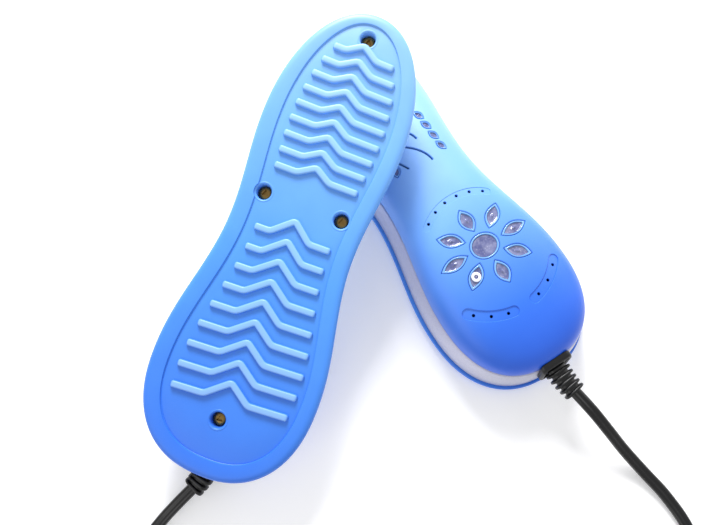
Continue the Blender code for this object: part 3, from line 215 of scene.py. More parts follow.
def half_width(y):
    """Half width at y: cosine blends heel to waist to toe, times a superellipse at either end."""
    to_waist = np.clip((y - HEEL_WIDEST_Y) / (WAIST_Y - HEEL_WIDEST_Y), 0, 1)
    to_toe = np.clip((y - WAIST_Y) / (TOE_WIDEST_Y - WAIST_Y), 0, 1)
    near_heel = HEEL_HALF_WIDTH + (WAIST_HALF_WIDTH - HEEL_HALF_WIDTH) * (1 - np.cos(np.pi * to_waist)) / 2
    near_toe = WAIST_HALF_WIDTH + (TOE_HALF_WIDTH - WAIST_HALF_WIDTH) * (1 - np.cos(np.pi * to_toe)) / 2
    heel_share = np.clip((HEEL_WIDEST_Y - y) / (HEEL_WIDEST_Y + LENGTH / 2), 0, 1)
    toe_share = np.clip((y - TOE_WIDEST_Y) / (LENGTH / 2 - TOE_WIDEST_Y), 0, 1)
    heel_end = (1 - heel_share ** HEEL_ROUNDNESS) ** (1 / HEEL_ROUNDNESS)
    toe_end = (1 - toe_share ** TOE_ROUNDNESS) ** (1 / TOE_ROUNDNESS)
    return np.where(y < WAIST_Y, near_heel, near_toe) * heel_end * toe_end


def directions(steps):
    """Each row brought to length one."""
    return steps / np.linalg.norm(steps, axis=1)[:, None]


def eased(share):
    """Smoothstep from 0 to 1, s^2 (3 - 2 s)."""
    return share ** 2 * (3 - 2 * share)


def walked_along(line):
    """Distance from the start to each point of a polyline."""
    return np.concatenate([[0], np.cumsum(np.linalg.norm(np.diff(line, axis=0), axis=1))])


def grown(points, amount):
    """A closed outline moved outwards along its normals, the mean of the neighbouring directions."""
    along = directions(np.roll(points, -1, axis=0) - np.roll(points, 1, axis=0))
    turning = np.sign(signed_area(points))
    return points + turning * amount * np.stack([along[:, 1], -along[:, 0]], axis=1)


def signed_area(points):
    """Area of a closed outline, positive when it runs anticlockwise."""
    after = np.roll(points, -1, axis=0)
    return 0.5 * np.sum(points[:, 0] * after[:, 1] - points[:, 1] * after[:, 0])


def outline(inset, count):
    """y = half length times cos t and x = half width at y, moved inwards by inset."""
    turn = TAU * (np.arange(count) + 0.5) / count
    y = LENGTH / 2 * np.cos(turn)
    points = np.stack([np.sign(np.sin(turn)) * half_width(y), y], axis=1)
    return grown(points, -inset)


def panel_outline(count):
    """The sole's panel: a steady inset, stretched a little at the toe and on the -X side."""
    points = outline(PANEL_INSET, count)
    points[:, 0] = np.where(points[:, 0] < 0, points[:, 0] * PANEL_SIDE_STRETCH, points[:, 0])
    stretch = (LENGTH / 2 - PANEL_TOE_INSET) / (LENGTH / 2 - PANEL_INSET)
    points[:, 1] = np.where(points[:, 1] > 0, points[:, 1] * stretch, points[:, 1])
    return points


def band_top(y):
    """Top edge of the silver band: level at the heel, falling steadily to the toe."""
    share = np.clip((y - BAND_SLOPES_FROM_Y) / (LENGTH / 2 - BAND_SLOPES_FROM_Y), 0, 1)
    return BAND_TOP_HEEL + (BAND_TOP_TOE - BAND_TOP_HEEL) * share


def crown_line(y):
    """Height along the middle: a hyperbola that is level at the heel and falls to the toe."""
    past = y - CROWN_Y
    fall = (past + np.sqrt(past ** 2 + CROWN_SOFTNESS ** 2) - CROWN_SOFTNESS) / 2
    return CROWN_HEIGHT - CROWN_SLOPE * fall


def over_edge(x, y, share, depth):
    """Dome height: foot + (crown - foot) times the superellipse (1 - share^n)^(1/n)."""
    foot = band_top(y) + GAP
    profile = np.clip(1 - share ** DOME_ROUNDNESS, 0, 1) ** (1 / DOME_ROUNDNESS)
    return foot + (crown_line(y) - depth - foot) * profile


def dome_height(points, depth=0.0):
    """Height of the dome over points, or of the surface that lies depth inside it."""
    edge = outline(EDGE_INSET + depth, 720)
    bearing = np.arctan2(edge[:, 0], edge[:, 1])
    order = np.argsort(bearing)
    distance = np.hypot(edge[order, 0], edge[order, 1])
    reach = np.interp(np.arctan2(points[:, 0], points[:, 1]), bearing[order], distance, period=TAU)
    share = np.clip(np.hypot(points[:, 0], points[:, 1]) / reach, 0, 1)
    return over_edge(points[:, 0], points[:, 1], share, depth)


def heel_wall_y(z):
    """Y of the outside at the middle of the heel at height z: the band, then the dome."""
    ys = np.linspace(-(LENGTH / 2 - EDGE_INSET), -60.0, 400)
    dome = dome_height(np.stack([np.zeros_like(ys), ys], axis=1))
    slope = (EDGE_INSET - BAND_INSET) / (BAND_TOP_HEEL - LIP_Z)
    band = -(LENGTH / 2) + BAND_INSET + slope * (z - LIP_Z)
    return np.where(z < BAND_TOP_HEEL, band, np.interp(z, dome, ys))


# ---------------------------------------------------------------- surfaces

def lifted(points, z):
    """Outline points with a height, one number or one for each point."""
    return np.column_stack([points, np.broadcast_to(z, len(points))])


def grid_faces(rows, columns, wrap_rows=False):
    """Quads of a grid of rings, each ring closed on itself."""
    row = np.arange(rows if wrap_rows else rows - 1)[:, None]
    column = np.arange(columns)[None, :]
    after_row, after = (row + 1) % rows, (column + 1) % columns
    corners = [row * columns + column, row * columns + after, after_row * columns + after,
               after_row * columns + column]
    return np.stack(np.broadcast_arrays(*corners), axis=-1).reshape(-1, 4)


def ring_surface(rings, wrap=False, flat_ends=False):
    """A closed surface through rings: a fan or one flat face at each end, or joined end to end."""
    rings = np.asarray(rings, float)
    rows, columns = rings.shape[:2]
    points = rings.reshape(-1, 3)
    faces = [tuple(f) for f in grid_faces(rows, columns, wrap).tolist()]
    if flat_ends:
        faces += [tuple(range(columns))[::-1], tuple(range((rows - 1) * columns, rows * columns))]
    elif not wrap:
        points = np.vstack([points, rings[0].mean(axis=0), rings[-1].mean(axis=0)])
        first, last = rows * columns, (rows - 1) * columns
        for k in range(columns):
            after = (k + 1) % columns
            faces.append((after, k, first))
            faces.append((last + k, last + after, first + 1))
    return points, faces


def merged(surfaces):
    """Several surfaces as one list of points and faces."""
    points, faces, start = [], [], 0
    for part, part_faces in surfaces:
        points.append(part)
        faces += [tuple(start + i for i in face) for face in part_faces]
        start += len(part)
    return np.vstack(points), faces


def smoothed(mesh, sharp):
    """The mesh shaded smooth, but for edges over the sharp angle in degrees."""
    mesh.polygons.foreach_set("use_smooth", [True] * len(mesh.polygons))
    mesh.set_sharp_from_angle(angle=math.radians(sharp))
    return mesh


def mesh_of(name, surfaces, sharp=35.0):
    """A mesh in millimetres: faces outwards, smooth up to the sharp angle."""
    points, faces = merged(surfaces)
    mesh = bpy.data.meshes.new(name)
    mesh.from_pydata(points.tolist(), [], faces)
    work = bmesh.new()
    work.from_mesh(mesh)
    bmesh.ops.recalc_face_normals(work, faces=work.faces)
    work.to_mesh(mesh)
    work.free()
    return smoothed(mesh, sharp)


def circle(centre, radius, count, start=0.0):
    """Points round a circle, from a starting angle."""
    turn = start + TAU * (np.arange(count) + 0.5) / count
    return np.column_stack([centre[0] + radius * np.cos(turn), centre[1] + radius * np.sin(turn)])


def leaf(length, width, count=14):
    """A leaf along X between two arcs, y = half width times (1 - u^2)."""
    along = np.sin(np.linspace(-np.pi / 2, np.pi / 2, count + 1))
    side = width / 2 * np.clip(1 - along ** 2, 0, 1)
    upper = np.column_stack([along * length / 2, side])
    lower = np.column_stack([-along * length / 2, -side])[1:-1]
    return np.vstack([upper, lower])


def turned(points, angle, centre=(0.0, 0.0)):
    """Points turned about the origin and then moved to a centre."""
    c, s = math.cos(angle), math.sin(angle)
    return points @ np.array([[c, s], [-s, c]]) + np.asarray(centre)


def ribbon(path, width):
    """Outline of a strip of one width along a path, with round ends."""
    along = directions(np.gradient(path, axis=0))
    side = np.column_stack([-along[:, 1], along[:, 0]])
    cap = np.linspace(0, np.pi, 8)[1:-1, None]
    end = path[-1] + (side[-1] * np.cos(cap) + along[-1] * np.sin(cap)) * width / 2
    start = path[0] - (side[0] * np.cos(cap) + along[0] * np.sin(cap)) * width / 2
    return np.vstack([path + side * width / 2, end, (path - side * width / 2)[::-1], start])


def parabola(a, b, c, count):
    """Points on the parabola that runs through three points."""
    a, b, c = (np.array(p, float) for p in (a, b, c))
    share = np.linspace(0, 1, count)[:, None]
    return (1 - share) ** 2 * a + 2 * share * (1 - share) * (2 * b - (a + c) / 2) + share ** 2 * c


def between(first, last, t, start, end):
    """A point, or one for each t, on the straight line from first at start to last at end."""
    share = (t - start) / (end - start)
    return (1 - share) * first + share * last


def smooth_route(route, spacing):
    """Even steps along the centripetal Catmull-Rom curve through a route."""
    knots = np.asarray(route, float)
    ends = np.vstack([2 * knots[0] - knots[1], knots, 2 * knots[-1] - knots[-2]])
    dense = []
    for knots_here in zip(ends, ends[1:], ends[2:], ends[3:]):
        steps = [math.sqrt(np.linalg.norm(q - p)) for p, q in zip(knots_here, knots_here[1:])]
        times = np.cumsum([0.0] + steps)
        t = np.linspace(times[1], times[2], 24, endpoint=False)[:, None]
        # Three rounds of blending neighbours, each over the times of two of the four knots.
        points = list(knots_here)
        for rounds in (((0, 1), (1, 2), (2, 3)), ((0, 2), (1, 3)), ((1, 2),)):
            points = [between(points[k], points[k + 1], t, times[first], times[last])
                      for k, (first, last) in enumerate(rounds)]
        dense.append(points[0])
    return even_steps(np.vstack(dense + [knots[-1:]]), spacing)


def even_steps(line, spacing):
    """A polyline resampled at even steps."""
    walked = walked_along(line)
    steps = np.linspace(0, walked[-1], max(2, round(walked[-1] / spacing)) + 1)
    return np.column_stack([np.interp(steps, walked, line[:, axis]) for axis in range(3)])


def swept(path, section, scale=None):
    """A closed section carried along a path, its first axis kept level: p + s*side + t*up."""
    along = directions(np.gradient(path, axis=0))
    side = directions(np.cross(along, (0.0, 0.0, 1.0)))
    up = np.cross(side, along)
    scale = np.ones(len(path)) if scale is None else scale
    across = section[None, :, 0, None] * side[:, None, :] + section[None, :, 1, None] * up[:, None, :]
    return ring_surface(path[:, None, :] + across * scale[:, None, None])


def rounded_rectangle(width, height, corner, per_corner=8):
    """Quarter circles at four corners, joined by straight sides, anticlockwise."""
    corner = min(corner, width / 2 - 1e-3, height / 2 - 1e-3)
    turn = np.linspace(0, np.pi / 2, per_corner)
    parts = []
    for k, (sx, sy) in enumerate(((1, 1), (-1, 1), (-1, -1), (1, -1))):
        centre = np.array([sx * (width / 2 - corner), sy * (height / 2 - corner)])
        angle = turn + k * np.pi / 2
        parts.append(centre + corner * np.column_stack([np.cos(angle), np.sin(angle)]))
    return np.vstack(parts)


def upright(section, y, x=0.0, z=0.0):
    """A section stood up across Y; y is a number or one for each point."""
    return np.column_stack([section[:, 0] + x, np.broadcast_to(y, len(section)), section[:, 1] + z])


def facing(section, reach, heading, start, z=0.0):
    """A section stood up across a heading, at a distance along it from a start."""
    turn = math.atan2(heading[1], heading[0]) - math.pi / 2
    flat = turned(np.column_stack([section[:, 0], np.full(len(section), reach)]), turn, start)
    return np.column_stack([flat, section[:, 1] + z])


def lathe(centre, profile, count=40):
    """A profile of (radius, z) turned round an upright axis."""
    return ring_surface([lifted(circle(centre, r, count), z) for r, z in profile])


# ---------------------------------------------------------------- where each dryer is

def node_centre(name):
    """Area-weighted middle of a node's surface, in millimetres."""
    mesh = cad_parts[name].data
    mesh.calc_loop_triangles()
    corners = np.zeros(len(mesh.vertices) * 3)
    mesh.vertices.foreach_get("co", corners)
    index = np.zeros(len(mesh.loop_triangles) * 3, int)
    mesh.loop_triangles.foreach_get("vertices", index)
    a, b, c = (corners.reshape(-1, 3)[index.reshape(-1, 3)[:, k]] for k in range(3))
    size = np.linalg.norm(np.cross(b - a, c - a), axis=1)
    return ((a + b + c) / 3 * size[:, None]).sum(axis=0) / size.sum() / MM


def placements():
    """Turn and shift of both dryers; the left's is the best rigid fit of its nodes to the right's."""
    low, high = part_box("right_base_shell")
    origin = np.array([(low.x + high.x) / 2, (low.y + high.y) / 2, 0.0]) / MM
    names = [n.removeprefix("right_") for n in sorted(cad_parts)
             if n.startswith("right_") and "relief" not in n]
    own = np.array([node_centre("right_" + n) for n in names]) - origin
    there = np.array([node_centre("left_" + n) for n in names])
    u, _, vt = np.linalg.svd((own - own.mean(axis=0)).T @ (there - there.mean(axis=0)))
    flip = np.diag([1, 1, np.sign(np.linalg.det(u @ vt))])
    turn = (u @ flip @ vt).T
    shift = there.mean(axis=0) - turn @ own.mean(axis=0)
    return {"right": (np.eye(3), origin), "left": (turn, shift)}


def linked(name, data):
    """A new object in the scene."""
    made = bpy.data.objects.new(name, data)
    bpy.context.scene.collection.objects.link(made)
    return made


def add_piece(name, mesh, material):
    """An object at the origin with its material; its mesh is already in metres, in the frame."""
    mesh.materials.append(material)
    return linked(name, mesh)


def place_on_units(name, mesh, material, nodes=(), units=tuple(UNITS)):
    """One copy of a dryer's piece on each dryer, standing for the nodes that it replaces."""
    placed_at = placements()
    for unit in units:
        turn, shift = placed_at[unit]
        copy = mesh.copy()
        own = copy.attributes.new("own", "FLOAT_VECTOR", "POINT")
        points = np.zeros(len(copy.vertices) * 3)
        copy.vertices.foreach_get("co", points)
        own.data.foreach_set("vector", points * MM)
        placed = (points.reshape(-1, 3) @ turn.T + shift) * MM
        copy.vertices.foreach_set("co", placed.ravel())
        copy.update()
        piece = add_piece(f"{unit}_{name}_skin", copy, material)
        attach(piece, UNITS[unit])
        if nodes:
            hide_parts(*[f"{unit}_{node}" for node in nodes])
    bpy.data.meshes.remove(mesh)


def add_in_frame(name, surfaces, material, sharp=35.0):
    """A piece worked out in the frame's millimetres, brought to metres."""
    mesh = mesh_of(name, surfaces, sharp)
    mesh.transform(Matrix.Scale(MM, 4))
    return add_piece(name, mesh, material)


def place_in_frame(name, surfaces, material, body, nodes):
    """A piece worked out in the frame, fixed to one body."""
    piece = add_in_frame(name, surfaces, material)
    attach(piece, body)
    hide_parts(*nodes)
    return piece


# ---------------------------------------------------------------- cutting

def cutter(outlines, bottom, chamfer):
    """Upright plugs through the dome with flared mouths, wider by the height over the chamfer's foot."""
    plugs = []
    for shape in outlines:
        rings = [lifted(shape, bottom(shape)), lifted(shape, dome_height(shape) - chamfer)]
        for rise in (chamfer, 3 * chamfer):
            wide = grown(shape, chamfer + rise)
            rings.append(lifted(wide, dome_height(shape) + rise))
        plugs.append(ring_surface(rings, flat_ends=True))
    return plugs


def triangulated(mesh):
    """Split every face into triangles, which the exact solver needs on curved faces."""
    work = bmesh.new()
    work.from_mesh(mesh)
    bmesh.ops.triangulate(work, faces=work.faces)
    work.to_mesh(mesh)
    work.free()


def cut(mesh, surfaces):
    """The mesh with closed surfaces taken away by the exact solver."""
    target = linked("cut_target", mesh)
    tool = linked("cut_tool", mesh_of("cut_tool", surfaces))
    for made in (target, tool):
        triangulated(made.data)
    step = target.modifiers.new("cut", "BOOLEAN")
    step.operation = "DIFFERENCE"
    step.solver = "EXACT"
    step.object = tool
    bpy.context.view_layer.update()
    graph = bpy.context.evaluated_depsgraph_get()
    result = bpy.data.meshes.new_from_object(target.evaluated_get(graph))
    tool_mesh = tool.data
    for made in (target, tool):
        bpy.data.objects.remove(made)
    bpy.data.meshes.remove(tool_mesh)
    bpy.data.meshes.remove(mesh)
    return smoothed(result, 32.0)


# ---------------------------------------------------------------- materials

def linear(code):
    """An sRGB hex colour as linear red, green, blue and alpha."""
    values = np.array([int(code[k:k + 2], 16) for k in (1, 3, 5)]) / 255
    flat = np.where(values <= 0.04045, values / 12.92, ((values + 0.055) / 1.055) ** 2.4)
    return (*flat.tolist(), 1.0)


def node(tree, kind, settings=(), links=(), **sockets):
    """Add a node: its own settings, values for its inputs, and links into it as (input, output)."""
    made = tree.nodes.new(kind)
    for key, value in dict(settings).items():
        setattr(made, key, value)
    for key, value in sockets.items():
        made.inputs[key.replace("_", " ")].default_value = value
    for target, source in links:
        tree.links.new(source, made.inputs[target])
    return made


def new_finish(name, roughness, metallic=0.0, **sockets):
    """A Principled material with its constants set on the shader's own sockets."""
    made = bpy.data.materials.new(name)
    made.use_nodes = True
    shader = made.node_tree.nodes["Principled BSDF"]
    shader.inputs["Roughness"].default_value = roughness
    shader.inputs["Metallic"].default_value = metallic
    for key, value in sockets.items():
        shader.inputs[key.replace("_", " ")].default_value = value
    return made, made.node_tree, shader


def own_place(tree):
    """The dryer's own coordinates in metres, so that a pattern lies the same way on both dryers."""
    return node(tree, "ShaderNodeAttribute", {"attribute_name": "own"}).outputs["Vector"]


def object_place(tree):
    """The frame's coordinates, for a piece that has no coordinates of its own."""
    return node(tree, "ShaderNodeTexCoord").outputs["Object"]


def bump_from(tree, shader, height, distance, strength):
    """Tilt the shading by a height pattern; distance is the real depth in metres."""
    bump = node(tree, "ShaderNodeBump", links=[("Height", height)], Strength=strength, Distance=distance)
    tree.links.new(bump.outputs["Normal"], shader.inputs["Normal"])


def ramp(tree, factor, stops):
    """A colour ramp through (position, colour) stops."""
    made = node(tree, "ShaderNodeValToRGB", links=[("Fac", factor)])
    while len(made.color_ramp.elements) < len(stops):
        made.color_ramp.elements.new(0.5)
    for element, (position, colour) in zip(made.color_ramp.elements, stops):
        element.position = position
        element.color = colour
    return made.outputs["Color"]


def noise(tree, place, scale, detail):
    """Soft noise at a scale in cycles a metre."""
    made = node(tree, "ShaderNodeTexNoise", links=[("Vector", place)], Scale=scale, Detail=detail)
    return made.outputs["Fac"]


def cells(tree, place, scale):
    """Distance to the nearest of scattered points, at a scale in points a metre."""
    made = node(tree, "ShaderNodeTexVoronoi", links=[("Vector", place)], Scale=scale)
    return made.outputs["Distance"]


def coloured(tree, shader, colour):
    """Lead a colour into the shader."""
    tree.links.new(colour, shader.inputs["Base Color"])


def mixed(tree, factor, first, second, blend="MIX"):
    """Two colours mixed by a factor; each of the three is an output or a value."""
    made = node(tree, "ShaderNodeMix", {"data_type": "RGBA", "blend_type": blend})
    for index, value in ((0, factor), (6, first), (7, second)):
        if isinstance(value, (float, tuple)):
            made.inputs[index].default_value = value
        else:
            tree.links.new(value, made.inputs[index])
    return made.outputs[2]


def patchy_gloss(tree, shader, pattern, low, high, first=0.2, last=0.8):
    """Roughness that follows a pattern from low to high, so that highlights break up."""
    stops = ((first, (low, low, low, 1)), (last, (high, high, high, 1)))
    tree.links.new(ramp(tree, pattern, stops), shader.inputs["Roughness"])


def soft_touch(name, stops, crest=None):
    """Rubberised paint on moulded ABS: satin, slightly mottled, with a fine even grain.

    Colour follows the dryer's length as painted light and shade, darker blue towards the heel and paler
    towards the toe; grain is 0.35 mm and the mottling 14 mm across. On the sole a painted highlight makes
    the paint on the crests paler, over the last 0.75 mm down to the floor.
    """
    made, tree, shader = new_finish(name, 0.42, IOR=1.48, Coat_Weight=0.12, Coat_Roughness=0.38)
    place = own_place(tree)
    along = node(tree, "ShaderNodeSeparateXYZ", links=[("Vector", place)]).outputs["Y"]
    share = node(tree, "ShaderNodeMapRange", links=[("Value", along)], From_Min=-0.105, From_Max=0.105)
    # Painted light and shade: colour stops along the dryer's length, darker at the heel and paler at the toe.
    base = ramp(tree, share.outputs[0], stops)
    clouds = noise(tree, place, 70.0, 3.0)
    tint = ramp(tree, clouds, ((0.3, (0.93, 0.94, 0.97, 1)), (0.7, (1.0, 1.0, 1.0, 1))))
    paint = mixed(tree, 1.0, base, tint, "MULTIPLY")
    # Painted highlight: the crests of the ribs, the last 0.75 mm down to the floor, are mixed up to half way
    # to a paler blue.
    if crest:
        level = node(tree, "ShaderNodeSeparateXYZ", links=[("Vector", place)]).outputs["Z"]
        painted_highlight_share = node(tree, "ShaderNodeMapRange", links=[("Value", level)], From_Min=0.00075,
                      From_Max=0.0, To_Max=0.5)
        paint = mixed(tree, painted_highlight_share.outputs[0], paint, linear(crest))
    coloured(tree, shader, paint)
    patchy_gloss(tree, shader, clouds, 0.37, 0.47)
    bump_from(tree, shader, noise(tree, place, 2800.0, 2.0), 0.00004, 0.35)
    return made


def moulded(name, colour, roughness, grain_mm, depth_mm, mottling, attribute=False, **sockets):
    """Moulded plastic or rubber: one colour, faintly mottled, with spark-eroded grain of a real size."""
    made, tree, shader = new_finish(name, roughness, **sockets)
    place = own_place(tree) if attribute else object_place(tree)
    clouds = noise(tree, place, 120.0, 4.0)
    base = linear(colour)
    darker = tuple(c * (1 - mottling) for c in base[:3]) + (1.0,)
    coloured(tree, shader, ramp(tree, clouds, ((0.3, darker), (0.7, base))))
    low, high = max(roughness - 0.05, 0.02), min(roughness + 0.06, 1)
    patchy_gloss(tree, shader, clouds, low, high, 0.25, 0.75)
    bump_from(tree, shader, noise(tree, place, 1000 / grain_mm, 2.0), depth_mm * MM, 0.4)
    return made


def satin_silver():
    """Silver-filled ABS, satin: lavender grey with a fine metallic fleck 0.25 mm across."""
    made, tree, shader = new_finish("satin_silver_abs", 0.36, 0.25, IOR=1.5)
    place = own_place(tree)
    flecks = cells(tree, place, 4000.0)
    coloured(tree, shader, ramp(tree, flecks, ((0.1, linear("#d6d6e6")), (0.8, linear("#bcbdd2")))))
    patchy_gloss(tree, shader, noise(tree, place, 90.0, 3.0), 0.30, 0.42)
    bump_from(tree, shader, flecks, 0.00002, 0.25)
    return made


def clear_lens():
    """Smoky clear polycarbonate over a lit board: greyish mauve with trapped bubbles 1 mm across."""
    made, tree, shader = new_finish("smoky_polycarbonate", 0.2, IOR=1.58, Coat_Weight=0.2,
                                    Transmission_Weight=0.05)
    place = own_place(tree)
    spots = cells(tree, place, 900.0)
    stops = ((0.0, linear("#d0d2e6")), (0.2, linear("#73769e")), (0.6, linear("#5b608f")))
    bubbles = ramp(tree, spots, stops)
    depth = noise(tree, place, 260.0, 2.0)
    shade = ramp(tree, depth, ((0.35, linear("#4b5286")), (0.65, linear("#9fa3c4"))))
    coloured(tree, shader, mixed(tree, 0.45, bubbles, shade))
    bump_from(tree, shader, spots, 0.00012, 0.5)
    return made


def metal(name, colour, roughness, brush_mm, stretch=(1.0, 1.0, 1.0)):
    """Bare or plated metal: fine drawn or rolled lines, brighter and duller in patches."""
    made, tree, shader = new_finish(name, roughness, 1.0)
    spread = node(tree, "ShaderNodeMapping", links=[("Vector", object_place(tree))], Scale=stretch)
    lines = noise(tree, spread.outputs[0], 1000 / brush_mm, 3.0)
    base = linear(colour)
    darker = tuple(c * 0.78 for c in base[:3]) + (1.0,)
    coloured(tree, shader, ramp(tree, lines, ((0.3, darker), (0.7, base))))
    patchy_gloss(tree, shader, lines, roughness * 0.8, roughness * 1.3)
    bump_from(tree, shader, lines, 0.00002, 0.3)
    return made


FINISHES = {}


def finish(name):
    """The finish of that name, made when it is first asked for."""
    if name not in FINISHES:
        FINISHES[name] = FINISH_MAKERS[name]()
    return FINISHES[name]


def dome_blue_painted_shade():
    """Soft-touch paint on the dome, sky blue at the toe and strong blue at the heel: painted shade, darker
    where the dome curves down to the heel.
    """
    stops = ((0.0, linear("#1d59dc")), (0.16, linear("#2f72e8")), (0.40, linear("#6fa8f6")),
             (0.62, linear("#8fc0f8")), (1.0, linear("#8fc3f8")))
    return soft_touch("soft_touch_dome_blue", stops)


def sole_blue_painted_light():
    """Soft-touch paint on the sole, strong blue at the heel to sky blue at the toe: painted light, paler
    towards the toe; its rib crests get a painted highlight.
    """
    stops = ((0.0, linear("#2b70e2")), (0.45, linear("#4f97ef")), (0.75, linear("#72aef2")),
             (1.0, linear("#86b9f2")))
    # The last colour is the painted highlight on the rib crests.
    return soft_touch("soft_touch_sole_blue", stops, "#a9d3fa")


FINISH_MAKERS = {
    "dome_blue_painted_shade": dome_blue_painted_shade,
    "sole_blue_painted_light": sole_blue_painted_light,
    "silver": satin_silver,
    "lens": clear_lens,
    # Tinted frames with a clear coat, which catch a thin highlight round each window.
    "frame": lambda: moulded("blue_tinted_polycarbonate", "#79b0f0", 0.24, 0.8, 0.02, 0.14, True,
                             IOR=1.58, Coat_Weight=0.3),
    # Frosted white with a painted glow: a little emission stands in for light from the lamp beside it.
    "ring_white_painted_glow": lambda: moulded("frosted_collar_painted_glow", "#f4f3fa", 0.35, 0.5, 0.02, 0.04, True,
                                  Emission_Color=(0.9, 0.9, 1.0, 1.0), Emission_Strength=0.25),
    # Black mouldings with broad soft highlights, the cord's a little tighter.
    "rubber": lambda: moulded("moulded_pvc_black", "#08080a", 0.34, 0.5, 0.03, 0.25),
    "cord": lambda: moulded("extruded_pvc_black", "#070709", 0.26, 0.8, 0.015, 0.2),
    # Metals with drawn lines that stretch each highlight.
    "brass": lambda: metal("zinc_plated_brass", "#9a7d48", 0.32, 0.4),
    "nickel": lambda: metal("nickel_plated_brass", "#cfccc2", 0.2, 0.5, (1.0, 1.0, 0.2)),
    "aluminium": lambda: metal("rolled_aluminium", "#d3d5d8", 0.34, 0.6, (0.1, 1.0, 1.0)),
    "steel": lambda: metal("spring_steel_strip", "#a9abb0", 0.3, 0.4, (0.1, 1.0, 1.0)),
    # Amber, uneven film; off-white glaze; a woven green board; a glassy lamp.
    "film": lambda: moulded("polyimide_film", "#b9731f", 0.25, 2.0, 0.05, 0.3),
    "ceramic": lambda: moulded("glazed_ceramic", "#e6e2d6", 0.3, 1.2, 0.02, 0.08),
    "board": lambda: moulded("fibreglass_board", "#1d7a43", 0.35, 0.9, 0.03, 0.35),
    "lamp": lambda: moulded("epoxy_lamp_lens", "#dcd8ee", 0.08, 1.5, 0.01, 0.1, Transmission_Weight=0.5),
    # Wires with a faint sheen.
    "wire_brown": lambda: moulded("pvc_wire_brown", "#6b3d1e", 0.35, 0.6, 0.01, 0.2),
    "wire_blue": lambda: moulded("pvc_wire_blue", "#2350b8", 0.35, 0.6, 0.01, 0.2),
}


# ---------------------------------------------------------------- dome

def flattened(points):
    """Points of the flower, drawn together along the dryer."""
    return np.column_stack([points[:, 0], FLOWER_Y + (points[:, 1] - FLOWER_Y) * FLOWER_SQUASH])


def petal_angle(k):
    """Bearing of a petal from the flower's middle, the first one towards the heel."""
    return TAU * k / PETALS - np.pi / 2


def petal_shapes(clearance):
    """Eight leaves round the flower's middle, the first one towards the heel."""
    length, centre = PETAL_TIP - PETAL_ROOT, (PETAL_TIP + PETAL_ROOT) / 2
    shape = leaf(length + 3 * clearance, 2 * PETAL_HALF_WIDTH + 2.4 * clearance) + np.array([centre, 0])
    return [flattened(turned(shape, petal_angle(k), (0, FLOWER_Y))) for k in range(PETALS)]


def eye_shape(clearance):
    """The eye in the middle of the flower."""
    return flattened(circle((0, FLOWER_Y), EYE_RADIUS + clearance, 60))


def oval_shapes(clearance):
    """Four small leaves along each side of the instep."""
    shape = leaf(OVAL_LENGTH + 3 * clearance, OVAL_WIDTH + 2.4 * clearance)
    shapes = []
    for side in (-1, 1):
        for k in range(OVALS):
            spot = (side * OVAL_X, OVAL_FIRST_Y + OVAL_PITCH * k)
            shapes.append(turned(shape, np.pi / 2 + side * OVAL_TURN, spot))
    return shapes


def round_flower(radius, angles, towards):
    """Points at a radius round the flower, angles counted from the toe (1) or the heel (-1)."""
    angles = np.asarray(angles, float)
    return np.column_stack([radius * np.sin(angles), FLOWER_Y + towards * radius * np.cos(angles)])


def vent_spots():
    """Middles of the twelve round vents."""
    steps = np.arange(FRONT_VENTS) - (FRONT_VENTS - 1) / 2
    front = round_flower(FRONT_VENT_ARC, steps * FRONT_VENT_STEP, 1)
    heel = [round_flower(HEEL_VENT_ARC, side * np.array(HEEL_VENT_ANGLES), -1) for side in (-1, 1)]
    return np.vstack([front] + heel)


def dome_rings(depth, count):
    """Rings of the dome: the edge outline times sin of an even angle, lifted by the dome's formula."""
    edge = outline(EDGE_INSET + depth, DOME_STEPS)
    rings = []
    for share in np.sin(np.linspace(np.pi / 2, 0.02, count)):
        points = edge * share
        rings.append(lifted(points, over_edge(points[:, 0], points[:, 1], share, depth)))
    return rings


def shallow(shape):
    """Floor of a heel groove."""
    return dome_height(shape) - HEEL_GROOVE_DEPTH


def hairline(shape):
    """Floor of the faint groove that the front vents lie in."""
    return dome_height(shape) - FRONT_GROOVE_DEPTH


def right_through(shape):
    """Well below the inside of the dome."""
    return dome_height(shape, WALL) - 4.0


class SCENE_OT_dome(bpy.types.Operator):
    """Blue dome of each dryer, with its windows, vents, grooves and slots cut through"""
    bl_idname = "scene.dryer_dome"
    bl_label = "Dome"

    def execute(self, context):
        chamfer = context.scene.dryer.edge_break / MM
        rings = dome_rings(0.0, 84)[::-1] + dome_rings(WALL, 30)
        mesh = mesh_of("dome", [ring_surface(rings)])
        first, last = HEEL_VENT_ANGLES[0] - HEEL_GROOVE_OVERRUN, HEEL_VENT_ANGLES[-1] + HEEL_GROOVE_OVERRUN
        heel_angles = np.linspace(first, last, 14)
        heel = [ribbon(round_flower(HEEL_VENT_ARC, side * heel_angles, -1), HEEL_GROOVE_WIDTH)
                for side in (-1, 1)]
        front_end = (FRONT_VENTS - 1) / 2 * FRONT_VENT_STEP + FRONT_GROOVE_OVERRUN
        front_angles = np.linspace(-front_end, front_end, 26)
        front = [ribbon(round_flower(FRONT_VENT_ARC, front_angles, 1), FRONT_GROOVE_WIDTH)]
        mesh = cut(mesh, cutter(heel, shallow, chamfer * 0.7))
        mesh = cut(mesh, cutter(front, hairline, chamfer * 0.4))
        shapes = petal_shapes(GAP) + [eye_shape(GAP)] + oval_shapes(GAP)
        mesh = cut(mesh, cutter(shapes, right_through, chamfer))
        small = [circle(spot, VENT_RADIUS, 14) for spot in vent_spots()]
        small += [ribbon(parabola(*points, 18), SLOT_WIDTH) for points in INSTEP_SLOTS]
        mesh = cut(mesh, cutter(small, right_through, chamfer * 0.6))
        place_on_units("dome", mesh, finish("dome_blue_painted_shade"), ["upper_shell"])
        return {"FINISHED"}


